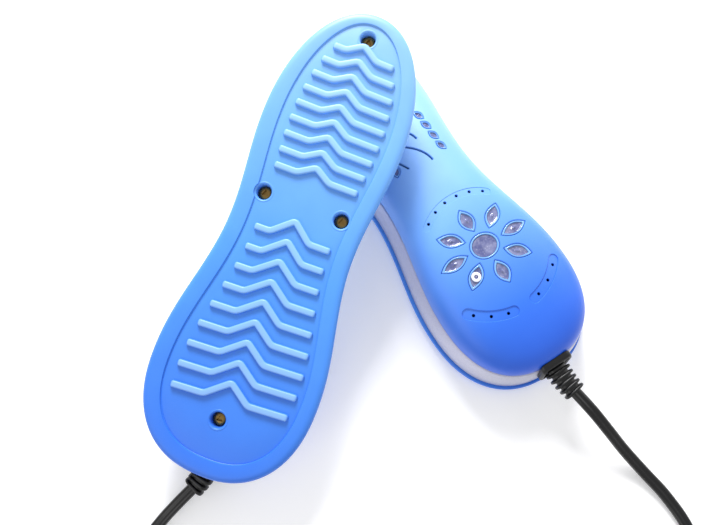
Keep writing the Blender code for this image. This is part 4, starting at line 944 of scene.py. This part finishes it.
# ---------------------------------------------------------------- windows

def drawn_in(shape, share, rise):
    """The outline drawn towards its middle by a share, lying at a height above the dome."""
    middle = shape.mean(axis=0)
    points = middle + (shape - middle) * (1 - share)
    return lifted(points, dome_height(points) + rise)


def bezel(shape, share):
    """Rounded frame of a window: rise = 0.05 - 0.5 (1 - sin(pi v))^2 across the frame, v from 0 to 1."""
    rings = [drawn_in(shape, 0.0, WINDOW_FOOT)]
    for v in np.linspace(0, 1, 11):
        rings.append(drawn_in(shape, share * v, 0.05 - 0.5 * (1 - math.sin(math.pi * v)) ** 2))
    rings.append(drawn_in(shape, share, WINDOW_FOOT))
    return ring_surface(rings, wrap=True)


def lens_in(shape, share, dish, button):
    """Lens inside its frame: a dish of depth sin(pi v), and a button exp(-(r/0.24)^2) in the middle."""
    rings = [drawn_in(shape, share + LENS_GAP, WINDOW_FOOT - 0.1)]
    for v in np.linspace(0, 0.98, 15):
        rise = -0.42 - dish * math.sin(math.pi * v) ** 0.8 + button * math.exp(-((1 - v) / 0.24) ** 2)
        rings.append(drawn_in(shape, share + LENS_GAP + (1 - LENS_GAP - share) * v, rise))
    return ring_surface(rings)


def lamp_collar(spot):
    """A small raised ring round a lamp: a half-round bead turned about the lamp's axis."""
    base = float(dome_height(np.array([spot]))[0]) - 0.25
    turn = np.linspace(0, TAU, 14, endpoint=False)
    rings = []
    for t in turn:
        radius = COLLAR_RADIUS + COLLAR_HALF_WIDTH * math.cos(t)
        rings.append(lifted(circle(spot, radius, 36), base + 0.1 + COLLAR_HEIGHT * math.sin(t)))
    return ring_surface(rings, wrap=True)


class SCENE_OT_windows(bpy.types.Operator):
    """Smoky flower window with its eye, and the small windows along the instep"""
    bl_idname = "scene.dryer_windows"
    bl_label = "Windows"

    def execute(self, context):
        petals, eye = petal_shapes(WINDOW_GAP), eye_shape(WINDOW_GAP)
        frames = [bezel(shape, PETAL_FRAME) for shape in petals] + [bezel(eye, EYE_FRAME)]
        lenses = [lens_in(shape, PETAL_FRAME, 0.25, 0.4) for shape in petals]
        lenses += [lens_in(eye, EYE_FRAME, 0.2, 0.0), self.plate()]
        self.add_windows("flower", frames, lenses, "flower_window")
        away, bearing = (PETAL_TIP + PETAL_ROOT) / 2, petal_angle(LAMP_PETAL)
        spot = np.array([(away * math.cos(bearing), FLOWER_Y + away * math.sin(bearing))])
        collar = mesh_of("lamp_collar", [lamp_collar(flattened(spot)[0])])
        place_on_units("lamp_collar", collar, finish("ring_white_painted_glow"))
        ovals = oval_shapes(WINDOW_GAP)
        for name, row, side in (("toe_window_b", ovals[:OVALS], -1), ("toe_window_a", ovals[OVALS:], 1)):
            frames = [bezel(shape, OVAL_FRAME) for shape in row]
            lenses = [lens_in(shape, OVAL_FRAME, 0.15, 0.0) for shape in row]
            self.add_windows(name, frames, lenses + [self.strip(side)], name)
        return {"FINISHED"}

    def add_windows(self, name, frames, lenses, replaced):
        """The frames of a group of windows, and their lenses on one carrier."""
        mesh = mesh_of(name + "_frame", frames, 60)
        place_on_units(name + "_frame", mesh, finish("frame"))
        place_on_units(name, mesh_of(name, lenses), finish("lens"), [replaced])

    def plate(self):
        """Round plate under the flower: two discs of rings that follow the inside of the dome."""
        rings = []
        for radius in (4.0, 12.0, 18.0, CARRIER_RADIUS):
            points = circle((0, FLOWER_Y), radius, 60)
            rings.append(lifted(points, dome_height(points, WALL) - CARRIER_DROP))
        return ring_surface(rings + [ring - (0, 0, CARRIER_THICKNESS) for ring in rings[::-1]])

    def strip(self, side):
        """Carrier strip of one row of ovals: a flat bar that follows the inside of the dome."""
        first, last = OVAL_FIRST_Y - CARRIER_MARGIN, OVAL_FIRST_Y + OVAL_PITCH * (OVALS - 1) + CARRIER_MARGIN
        rings = []
        for y in np.linspace(first, last, 16):
            line = np.array([(side * (OVAL_X - 2.6), y), (side * (OVAL_X + 1.9), y)])
            upper = lifted(line, dome_height(line, WALL) - CARRIER_DROP)
            rings.append(np.vstack([upper, upper[::-1] - (0, 0, CARRIER_THICKNESS)]))
        return ring_surface(rings)


# ---------------------------------------------------------------- band

class SCENE_OT_band(bpy.types.Operator):
    """Silver band round each dryer, with a bright bead along its top"""
    bl_idname = "scene.dryer_band"
    bl_label = "Silver band"

    def execute(self, context):
        foot_z = LIP_Z + GAP
        rings = []
        for inset, lift, share in self.profile():
            points = outline(inset, OUTLINE_STEPS)
            z = foot_z + (band_top(points[:, 1]) - foot_z) * share + lift
            rings.append(lifted(points, z))
        mesh = cut(mesh_of("band", [ring_surface(rings, wrap=True)]), [relief_hole()])
        place_on_units("band", mesh, finish("silver"), ["side_band"])
        return {"FINISHED"}

    def profile(self):
        """(inset, lift, share of the band's height): rounded foot, hollow wall, bead, inside."""
        foot = [(BAND_INSET + 0.5, 0.0, 0.0), (BAND_INSET + 0.12, 0.15, 0.0), (BAND_INSET, 0.5, 0.0)]
        wall = []
        for share in (0.25, 0.5, 0.75):
            hollow = BAND_HOLLOW * math.sin(math.pi * share)
            wall.append((BAND_INSET + (EDGE_INSET - 0.5 - BAND_INSET) * share - hollow, 0.0, share))
        bead = [(EDGE_INSET + inset, lift, 1.0) for inset, lift in (
            (-0.55, -2.1), (-0.5, -1.7), (-0.75, -1.45), (-0.9, -1.0), (-0.75, -0.5), (-0.35, -0.12),
            (0.15, 0.0), (WALL, 0.0))]
        return foot + wall + bead + [(BAND_INSET + WALL, 0.0, 0.0)]


def relief_hole():
    """Block that clears the strain relief's neck through the heel wall."""
    section = rounded_rectangle(*RELIEF_HOLE, 1.2)
    return ring_surface([upright(section, y, z=RELIEF_Z) for y in (-LENGTH / 2 - 6, -LENGTH / 2 + 18)])


# ---------------------------------------------------------------- sole

def rib_path(y, chevron_height, chevron_half_base):
    """Middle line of one rib: straight, chevron, straight, its three bends rounded."""
    edge = panel_outline(720)
    ends = []
    for side, margin in zip((-1, 1), RIB_MARGINS):
        half = edge[edge[:, 0] * side >= 0]
        half = half[np.argsort(half[:, 1])]
        ends.append(side * (np.interp(y, half[:, 1], np.abs(half[:, 0])) - margin))
    base = min(chevron_half_base, ends[1] * 0.55)
    corners = np.array([(ends[0], y), (-base, y), (0, y + chevron_height), (base, y), (ends[1], y)])
    corners[:, 1] += RIB_FAN * (y - RIB_LEVEL_Y) * corners[:, 0]
    path = [corners[:1]]
    for a, b, c in zip(corners, corners[1:], corners[2:]):
        near = b + (a - b) * min(0.45, 1.5 / np.linalg.norm(a - b))
        far = b + (c - b) * min(0.45, 1.5 / np.linalg.norm(c - b))
        share = np.linspace(0, 1, 7)[:, None]
        path.append((1 - share) ** 2 * near + 2 * share * (1 - share) * b + share ** 2 * far)
    path.append(corners[-1:])
    return even_steps(lifted(np.vstack(path), 0.0), 0.7)


def rib(path, height):
    """A rounded bar: half width 1.55 |cos a|^0.55, height h sin(a)^0.55, its ends rounded in plan."""
    turn = np.linspace(0, np.pi, 17)
    across = RIB_HALF_WIDTH * np.sign(np.cos(turn)) * np.abs(np.cos(turn)) ** RIB_FULLNESS
    top = np.column_stack([across, height * np.sin(turn) ** RIB_FULLNESS])
    section = np.vstack([top, [(-1.6, -0.6), (1.6, -0.6)]])
    walked = walked_along(path)
    from_end = np.clip(np.minimum(walked, walked[-1] - walked) / RIB_END, 0.0, 1)
    scale = 0.55 + 0.45 * np.sqrt(1 - (1 - from_end) ** 2)
    section[:, 1] *= -1
    return swept(path + (0, 0, PANEL_Z), section, scale)


def well(spot):
    """Screw well: a tube with a rounded mouth flush with the panel and a seat for the screw's head."""
    mouth = PANEL_Z
    profile = ((1.8, 11.5), (4.7, 11.5), (4.7, mouth + 0.4), (4.55, mouth + 0.05), (4.3, mouth - 0.12),
               (4.0, mouth - 0.1), (3.7, mouth + 0.05), (3.45, mouth + 0.35), (3.3, mouth + 0.8),
               (3.3, WELL_SEAT_Z), (1.8, WELL_SEAT_Z))
    return ring_surface([lifted(circle(spot, r, 48), z) for r, z in profile], wrap=True)


class SCENE_OT_sole(bpy.types.Operator):
    """Blue sole of each dryer: rounded rim, recessed panel, ribs and screw wells"""
    bl_idname = "scene.dryer_sole"
    bl_label = "Sole"

    def execute(self, context):
        panel = panel_outline(OUTLINE_STEPS)
        rings = [lifted(panel * share, PANEL_Z) for share in (0.02, 0.3, 0.6, 0.85)]
        edge = ((-0.7, PANEL_Z), (-0.4, PANEL_Z + 0.08), (-0.2, PANEL_Z + 0.12), (-0.04, PANEL_Z),
                (0.02, RIM_Z + 0.22), (0.12, RIM_Z + 0.06), (0.4, RIM_Z))
        rings += [lifted(grown(panel, out), z) for out, z in edge]
        turn = np.linspace(np.pi / 2, -0.32 * np.pi, 16)
        for angle in turn:
            if angle > 0:
                inset = EDGE_ROLL_IN - EDGE_ROLL_IN * math.cos(angle) ** 0.9
                z = EDGE_Z - EDGE_ROLL_DOWN * math.sin(angle)
            else:
                inset = EDGE_TUCK_IN * (1 - math.cos(angle))
                z = EDGE_Z - EDGE_TUCK_UP * math.sin(angle)
            rings.append(lifted(outline(inset, OUTLINE_STEPS), z))
        inner, ceiling = TONGUE_INSET + 1.6, 3.8
        rings += [lifted(outline(inset, OUTLINE_STEPS), z) for inset, z in (
            (1.7, LIP_Z), (TONGUE_INSET, LIP_Z), (TONGUE_INSET, TONGUE_TOP),
            (TONGUE_INSET + 1.4, TONGUE_TOP), (inner, ceiling))]
        rings += [lifted(outline(inner, OUTLINE_STEPS) * share, ceiling) for share in (0.6, 0.02)]
        mesh = mesh_of("sole", [ring_surface(rings)])
        hole = ((WELL_CUT_RADIUS, -2.0), (WELL_CUT_RADIUS, 6.0))
        mesh = cut(mesh, [lathe(spot, hole, 44) for spot in SCREW_SPOTS.values()])
        rib_height = context.scene.dryer.rib_height / MM
        raised = []
        for first_y, pitch, height, half_base in RIB_GROUPS:
            for k in range(RIBS_IN_GROUP):
                raised.append(rib(rib_path(first_y - pitch * k, height, half_base), rib_height))
        raised += [well(spot) for spot in SCREW_SPOTS.values()]
        details = mesh_of("sole_details", raised, 50)
        work = bmesh.new()
        work.from_mesh(mesh)
        work.from_mesh(details)
        work.to_mesh(mesh)
        work.free()
        bpy.data.meshes.remove(details)
        place_on_units("sole", mesh, finish("sole_blue_painted_light"), ["base_shell"])
        return {"FINISHED"}


class SCENE_OT_screws(bpy.types.Operator):
    """Brass-coloured screws with a triangular recess"""
    bl_idname = "scene.dryer_screws"
    bl_label = "Screws"

    def execute(self, context):
        seat = WELL_SEAT_Z - GAP
        for spot, centre in SCREW_SPOTS.items():
            profile = ((1.2, seat - 2.2), (2.2, seat - 2.12), (2.6, seat - 1.9), (2.78, seat - 1.5),
                       (2.8, seat - 0.3), (2.6, seat), (1.5, seat), (1.5, 14.5), (1.2, 15.4), (0.5, 16.5))
            mesh = mesh_of("screw", [lathe(centre, profile, 48)])
            drive = [lifted(circle(centre, 1.75, 3, 0.4), z) for z in (seat - 3.0, seat - 0.9)]
            mesh = cut(mesh, [ring_surface(drive)])
            place_on_units("screw_" + spot, mesh, finish("brass"), ["screw_" + spot])
        return {"FINISHED"}


# ---------------------------------------------------------------- strain relief

def relief_ring(width, height, corner, y):
    """One upright ring of the strain relief; y is a number or a function of the height."""
    section = rounded_rectangle(width, height, corner)
    if callable(y):
        y = y(section[:, 1] + RELIEF_Z)
    return upright(section, y, z=RELIEF_Z)


def bent(ring, start_y, bend):
    """A boot's ring carried round an arc towards +X: centre minus (radius - x) turned by distance/radius."""
    radius = (start_y - BOOT_END_Y) / bend
    angle = np.maximum(start_y - ring[:, 1], 0) / radius
    away = radius - ring[:, 0]
    curved = np.column_stack([radius - away * np.cos(angle), start_y - away * np.sin(angle), ring[:, 2]])
    return np.where(ring[:, 1:2] < start_y, curved, ring)


class SCENE_OT_relief(bpy.types.Operator):
    """Black strain relief in each heel: framed flange and ribbed boot"""
    bl_idname = "scene.dryer_relief"
    bl_label = "Strain relief"

    def execute(self, context):
        width, height = RELIEF_FLANGE

        def off_wall(away):
            return lambda z: heel_wall_y(z) - away

        steps = ((*RELIEF_NECK, 1.0, -4.0), (*RELIEF_NECK, 1.0, 0.1), (width - 0.4, height - 0.4, 2.0, 0.1),
                 (width, height, 2.2, 0.4), (width, height, 2.2, 2.0), (width - 0.5, height - 0.5, 2.2, 2.6),
                 (width - 1.1, height - 1.1, 2.0, 2.85), (width - 2.2, height - 2.2, 1.6, 2.85),
                 (width - 2.8, height - 2.8, 1.4, 2.6), (width - 3.1, height - 3.1, 1.3, 1.9))
        rings = [relief_ring(w, h, c, off_wall(away)) for w, h, c, away in steps]
        start = float(heel_wall_y(np.array(RELIEF_Z))) - 2.6
        core = (BOOT_WIDTH * BOOT_CORE, BOOT_WIDTH * BOOT_CORE * BOOT_FLATNESS)
        rings.append(relief_ring(core[0] + 1.2, core[1] + 1.2, 2.6, start + 0.6))
        pitch = (BOOT_END_Y - start) / BOOT_RIBS
        for k in range(BOOT_RIBS):
            wide = BOOT_WIDTH + (BOOT_END_WIDTH - BOOT_WIDTH) * k / (BOOT_RIBS - 1)
            for part, fat in ((0.02, 0.0), (0.38, 0.0), (0.46, 0.55), (0.52, 0.9), (0.60, 1.0), (0.84, 1.0),
                              (0.92, 0.9), (0.97, 0.6)):
                across = wide * (BOOT_CORE + (1 - BOOT_CORE) * fat)
                rings.append(relief_ring(across, across * BOOT_FLATNESS, 2.8, start + pitch * (k + part)))
        bend_start = float(heel_wall_y(np.array(RELIEF_Z - height / 2))) - 3.3
        for unit in UNITS:
            curved = [bent(ring, bend_start, BOOT_BENDS[unit]) for ring in rings]
            mesh = mesh_of("relief", [ring_surface(curved)], 40)
            place_on_units("relief", mesh, finish("rubber"), ["strain_relief"], [unit])
        return {"FINISHED"}


# ---------------------------------------------------------------- cord set

def twin_section(width, thickness):
    """Two round cores side by side, drawn as one outline with a shallow valley between them."""
    radius = thickness / 2
    centre = width / 2 - radius
    turn = np.radians(np.linspace(-125, 125, 15))
    right = np.column_stack([centre + radius * np.cos(turn), radius * np.sin(turn)])
    return np.vstack([right, -right])


def settled(route):
    """The route of the flat cord: as the round one's, but lying flat on the floor."""
    points = np.array(route, float)
    exit_z, floor, lying = points[0, 2], CORD_WIDTH / 2, CORD_THICKNESS / 2
    points[:, 2] = lying + (points[:, 2] - floor) * (exit_z - lying) / (exit_z - floor)
    line = smooth_route(points, 2.0)
    line[:, 2] = np.maximum(line[:, 2], lying)
    return line


def straight_off(route, boot_way):
    """The route begun a little inside the boot, so that the cord's end is covered."""
    start = np.array(route[0], float)
    return [tuple(start - np.array(boot_way) * CORD_IN_BOOT)] + list(route)


def lead(name, line, section):
    """One length of cord swept along its line."""
    return add_in_frame(name, [swept(line, section)], finish("cord"), 60)


def wound_line():
    """Main cord: straight to the coil, four turns in two columns and two layers, across the top, off.

    In the coil the bearing falls evenly; radius and height step from one slot to the next by
    smoothsteps that take a sixth of a turn.
    """
    slots = ((COIL_COLUMN, 0), (-COIL_COLUMN, 0), (-COIL_COLUMN, 1), (COIL_COLUMN, 1), (0.0, 2))
    turns = COIL_TURNS + (np.pi - COIL_LEAVES_AT) / TAU
    walked = np.linspace(0, turns, round(turns * 72))
    radius = np.full_like(walked, COIL_RADIUS)
    height = np.full_like(walked, COIL_LAYERS[0])
    before = (0.0, 0)
    for k, slot in enumerate(slots):
        share = np.clip((walked - k) / COIL_STEP_SHARE, 0, 1)
        ease = eased(share)
        radius += (slot[0] - before[0]) * ease
        height += (COIL_LAYERS[slot[1]] - COIL_LAYERS[before[1]]) * ease
        before = slot
    bearing = np.pi - TAU * walked
    wound = np.column_stack([COIL_CENTRE[0] + radius * np.cos(bearing),
                             COIL_CENTRE[1] + radius * np.sin(bearing), height])
    share = np.linspace(0, 1, 16, endpoint=False)
    start_y = SPLITTER_CENTRE[1] + SPLITTER_SIZE[1] / 2 - 2.0
    first_y = COIL_CENTRE[1]
    straight = np.column_stack([np.full(16, SPLITTER_CENTRE[0]), start_y + (first_y - start_y) * share,
                                SPLITTER_CORD_Z + (COIL_LAYERS[0] - SPLITTER_CORD_Z) * eased(share)])
    outwards = np.array([math.cos(COIL_LEAVES_AT), math.sin(COIL_LEAVES_AT)])
    heading = np.array([outwards[1], -outwards[0]])
    leaves = np.array(COIL_CENTRE) + outwards * COIL_RADIUS
    run = np.linspace(0, PLUG_AWAY + 4.0, 18)[1:]
    fall = eased(np.clip((run - PLUG_RISE_FROM) / PLUG_RISE_RUN, 0, 1))
    off = np.column_stack([leaves + heading * run[:, None],
                           COIL_LAYERS[2] + (PLUG_SIZE[2] / 2 - COIL_LAYERS[2]) * fall])
    return even_steps(np.vstack([straight, wound, off]), 2.0), leaves, heading


def splitter_surface():
    """Moulded splitter: rounded rectangles along Y, wide in the middle, with three grip rings."""
    width, length, height = SPLITTER_SIZE
    stations = ((-0.5, 0.70), (-0.49, 0.80), (-0.44, 0.92), (-0.38, 0.98), (-0.30, 1.0), (-0.1, 1.0),
                (0.08, 0.97), (0.10, 0.90), (0.14, 0.90), (0.16, 0.92), (0.20, 0.88), (0.22, 0.80),
                (0.26, 0.80), (0.28, 0.82), (0.32, 0.79), (0.34, 0.71), (0.38, 0.71), (0.40, 0.73),
                (0.46, 0.70), (0.49, 0.66), (0.5, 0.58))
    rings = []
    for share, scale in stations:
        section = rounded_rectangle(width * scale, height * min(1.0, scale + 0.12), 2.4)
        rings.append(upright(section, SPLITTER_CENTRE[1] + length * share, SPLITTER_CENTRE[0], height / 2))
    return ring_surface(rings)


def tie_surface():
    """Tie round the coil: a rounded rectangular loop of flat strap, and its small locking head."""
    middle_z, tall, edge = (TIE_FOOT + TIE_TOP) / 2, TIE_TOP - TIE_FOOT, TIE_STRAP_WIDTH / 2
    loops = []
    for inset, across in ((0.1, -edge), (0.0, 0.2 - edge), (0.0, edge - 0.2), (0.1, edge), (0.8, edge),
                          (0.9, edge - 0.2), (0.9, 0.2 - edge), (0.8, -edge)):
        loop = rounded_rectangle(TIE_WIDTH - 2 * inset, tall - 2 * inset, 2.2 - inset)
        loops.append(upright(loop, across, COIL_RADIUS, middle_z))
    head = []
    for rise, scale in ((-0.4, 1.0), (0.25, 1.0), (0.5, 0.86)):
        ring = rounded_rectangle(5.2 * scale, 7.0 * scale, 1.0) + (COIL_RADIUS + 2.0, 0.0)
        head.append(lifted(ring, TIE_TOP + rise))
    pieces = []
    for rings, wrap in ((loops, True), (head, False)):
        placed = [np.column_stack([turned(r[:, :2], TIE_BEARING, COIL_CENTRE), r[:, 2]]) for r in rings]
        pieces.append(ring_surface(placed, wrap))
    return pieces


def plug_surface(start, heading):
    """Two-pin plug: a ribbed sleeve that widens into a flat-sided body."""
    width, length, height = PLUG_SIZE
    stations = [(-0.02, 7.2, 7.2, 3.0)]
    for k in range(3):
        y = 0.02 + 0.075 * k
        stations += [(y, 7.4, 7.4, 3.2), (y + 0.012, 8.6, 8.6, 3.6), (y + 0.04, 8.6, 8.6, 3.6),
                     (y + 0.052, 7.4, 7.4, 3.2)]
    stations += [(0.25, 9.0, 9.0, 3.6), (0.29, 15.0, 12.0, 4.4), (0.34, 18.0, 13.2, 4.8)]
    stations += [(share, wide, height, 5.0) for share, wide in (
        (0.42, 19.6), (0.55, 20.6), (0.68, 21.2), (0.80, 23.2), (0.90, 24.8), (0.97, width))]
    stations += [(0.99, width - 0.5, height - 0.5, 4.8), (1.0, width - 1.6, height - 1.6, 4.4)]
    rings = []
    for share, wide, tall, corner in stations:
        section = rounded_rectangle(wide, tall, corner)
        rings.append(facing(section, length * share, heading, start, height / 2))
    return ring_surface(rings)


def pin_surface(start, heading, side):
    """Round pin: a bright shank and a rounded tip."""
    first, last = PLUG_SIZE[1] + 0.05, PLUG_SIZE[1] + PIN_LENGTH
    stations = ((first, 1.0), (last - 1.8, 1.0), (last - 1.0, 0.93), (last - 0.4, 0.75), (last - 0.08, 0.45),
                (last, 0.2))
    rings = []
    for reach, scale in stations:
        section = circle((side * PIN_SPACING / 2, PLUG_SIZE[2] / 2), PIN_RADIUS * scale, 32)
        rings.append(facing(section, reach, heading, start))
    return ring_surface(rings)


class SCENE_OT_cord_set(bpy.types.Operator):
    """Flat twin leads, splitter, wound main cord with its tie, and the plug"""
    bl_idname = "scene.dryer_cord_set"
    bl_label = "Cord set"

    def execute(self, context):
        sizes = context.scene.dryer_cord
        section = twin_section(sizes.width / MM, sizes.thickness / MM)
        body = "right_dryer"
        splitter = place_in_frame("splitter", [splitter_surface()], finish("rubber"), body,
                                  ["cord_splitter"])
        right_line = settled(straight_off(RIGHT_LEAD_ROUTE, RIGHT_BOOT_WAY))
        right = lead("lead_right_flat", right_line, section)
        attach(right, body)
        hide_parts("lead_right")
        left_line = settled(straight_off(LEFT_LEAD_ROUTE, LEFT_BOOT_WAY))
        left = lead("lead_left_flat", left_line, section)
        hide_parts("lead_left")
        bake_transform(left)
        main_line, leaves, heading = wound_line()
        main = lead("main_cord_flat", main_line, section)
        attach(main, body)
        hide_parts("main_cord", "cord_coil", "plug_lead")
        tie = place_in_frame("coil_strap", tie_surface(), finish("rubber"), body,
                             ["coil_tie"])
        start = leaves + heading * PLUG_AWAY
        plug = place_in_frame("plug", [plug_surface(start, heading)], finish("rubber"),
                              body, ["plug_body"])
        pins = [place_in_frame("pin_" + name, [pin_surface(start, heading, side)], finish("nickel"),
                               body, ["plug_pin_" + name]) for name, side in (("a", -1), ("b", 1))]
        return {"FINISHED"}


# ---------------------------------------------------------------- pieces inside

INNER_FINISHES = {
    "heater_plate": "aluminium", "ptc_heater": "film", "heater_clip": "steel", "thermal_fuse": "ceramic",
    "lamp_board": "board", "lamp_centre": "lamp", "lamp_heel": "lamp", "wire_live": "wire_brown",
    "wire_neutral": "wire_blue", "wire_link": "wire_brown", "wire_lamp": "wire_brown",
}


class SCENE_OT_inside(bpy.types.Operator):
    """Finishes of the heater, lamps and wires inside each dryer"""
    bl_idname = "scene.dryer_inside"
    bl_label = "Pieces inside"

    def execute(self, context):
        for unit in UNITS:
            for name, kind in INNER_FINISHES.items():
                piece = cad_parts[f"{unit}_{name}"]
                piece.data.materials.clear()
                piece.data.materials.append(finish(kind))
        return {"FINISHED"}


# ---------------------------------------------------------------- stage

def area_lamp(name, place, size, power):
    """A square soft lamp at a place, facing the dryers, in metres."""
    data = bpy.data.lights.new(name, "AREA")
    data.energy = power
    data.shape = "RECTANGLE"
    data.size = data.size_y = size
    made = linked(name, data)
    away = np.array(place) - np.array(LAMP_TARGET)
    away = away / np.linalg.norm(away)
    side = np.cross((0.0, 1.0, 0.0), away)
    side /= np.linalg.norm(side)
    turn = np.column_stack([side, np.cross(away, side), away])
    made.matrix_world = Matrix.Translation(place) @ Matrix(turn.tolist()).to_4x4()


def paper_floor():
    """Matt white paper: almost pure white with a faint fibre 0.4 mm across."""
    made, tree, shader = new_finish("matt_white_paper", 0.9, Emission_Color=(1, 1, 1, 1),
                                    Emission_Strength=0.22)
    fibre = noise(tree, object_place(tree), 2500.0, 2.0)
    coloured(tree, shader, ramp(tree, fibre, ((0.3, linear("#f1f1f2")), (0.7, linear("#f7f7f8")))))
    return made


class SCENE_OT_stage(bpy.types.Operator):
    """Pale floor, soft studio lamps and the camera"""
    bl_idname = "scene.dryer_stage"
    bl_label = "Stage"

    def execute(self, context):
        scene = context.scene
        corners = [(x * FLOOR_REACH, y * FLOOR_REACH, FLOOR_Z)
                   for x, y in ((-1, -1), (1, -1), (1, 1), (-1, 1))]
        floor = bpy.data.meshes.new("floor")
        floor.from_pydata(corners, [], [(0, 1, 2, 3)])
        add_piece("floor", floor, paper_floor())
        for name, place, size, share in LAMPS:
            area_lamp(name, place, size, scene.dryer_stage.key_power * share)
        world = bpy.data.worlds.new("studio")
        world.use_nodes = True
        back = world.node_tree.nodes["Background"]
        back.inputs["Color"].default_value = linear("#ffffff")
        back.inputs["Strength"].default_value = WORLD_STRENGTH
        scene.world = world
        data = bpy.data.cameras.new("camera")
        data.lens = scene.dryer_stage.lens
        data.sensor_width = SENSOR_WIDTH
        data.clip_start = 0.01
        camera = linked("camera", data)
        camera.matrix_world = Matrix.Translation(CAMERA_PLACE) @ Matrix(CAMERA_TURN).to_4x4()
        scene.camera = camera
        scene.view_settings.view_transform = "Standard"
        return {"FINISHED"}


class SCENE_PT_dryer(bpy.types.Panel):
    """Lists the pieces in the 3D view's sidebar"""
    bl_label = "Boot dryer"
    bl_idname = "SCENE_PT_dryer"
    bl_space_type = "VIEW_3D"
    bl_region_type = "UI"
    bl_category = "Boot dryer"

    def draw(self, context):
        layout = self.layout
        for group in (context.scene.dryer, context.scene.dryer_cord, context.scene.dryer_stage):
            for name in group.bl_rna.properties.keys():
                if name not in ("rna_type", "name"):
                    layout.prop(group, name)
        for operator in OPERATORS:
            layout.operator(operator.bl_idname)


OPERATORS = (SCENE_OT_stage, SCENE_OT_cord_set, SCENE_OT_dome, SCENE_OT_windows, SCENE_OT_band, SCENE_OT_sole,
             SCENE_OT_screws, SCENE_OT_relief, SCENE_OT_inside)
GROUPS = (SCENE_PG_dryer, SCENE_PG_cord, SCENE_PG_stage)


def register():
    """Register the classes and hang the properties on the scene."""
    for made in (*GROUPS, *OPERATORS, SCENE_PT_dryer):
        bpy.utils.register_class(made)
    bpy.types.Scene.dryer = PointerProperty(type=SCENE_PG_dryer)
    bpy.types.Scene.dryer_cord = PointerProperty(type=SCENE_PG_cord)
    bpy.types.Scene.dryer_stage = PointerProperty(type=SCENE_PG_stage)


def unregister():
    """Take the properties and classes away again."""
    del bpy.types.Scene.dryer_stage
    del bpy.types.Scene.dryer_cord
    del bpy.types.Scene.dryer
    for made in reversed((*GROUPS, *OPERATORS, SCENE_PT_dryer)):
        bpy.utils.unregister_class(made)


def main():
    """Build everything through the operators."""
    register()
    bpy.ops.scene.dryer_stage()
    bpy.ops.scene.dryer_cord_set()
    bpy.ops.scene.dryer_dome()
    bpy.ops.scene.dryer_windows()
    bpy.ops.scene.dryer_band()
    bpy.ops.scene.dryer_sole()
    bpy.ops.scene.dryer_screws()
    bpy.ops.scene.dryer_relief()
    bpy.ops.scene.dryer_inside()
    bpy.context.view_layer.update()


if __name__ == "__main__":
    main()
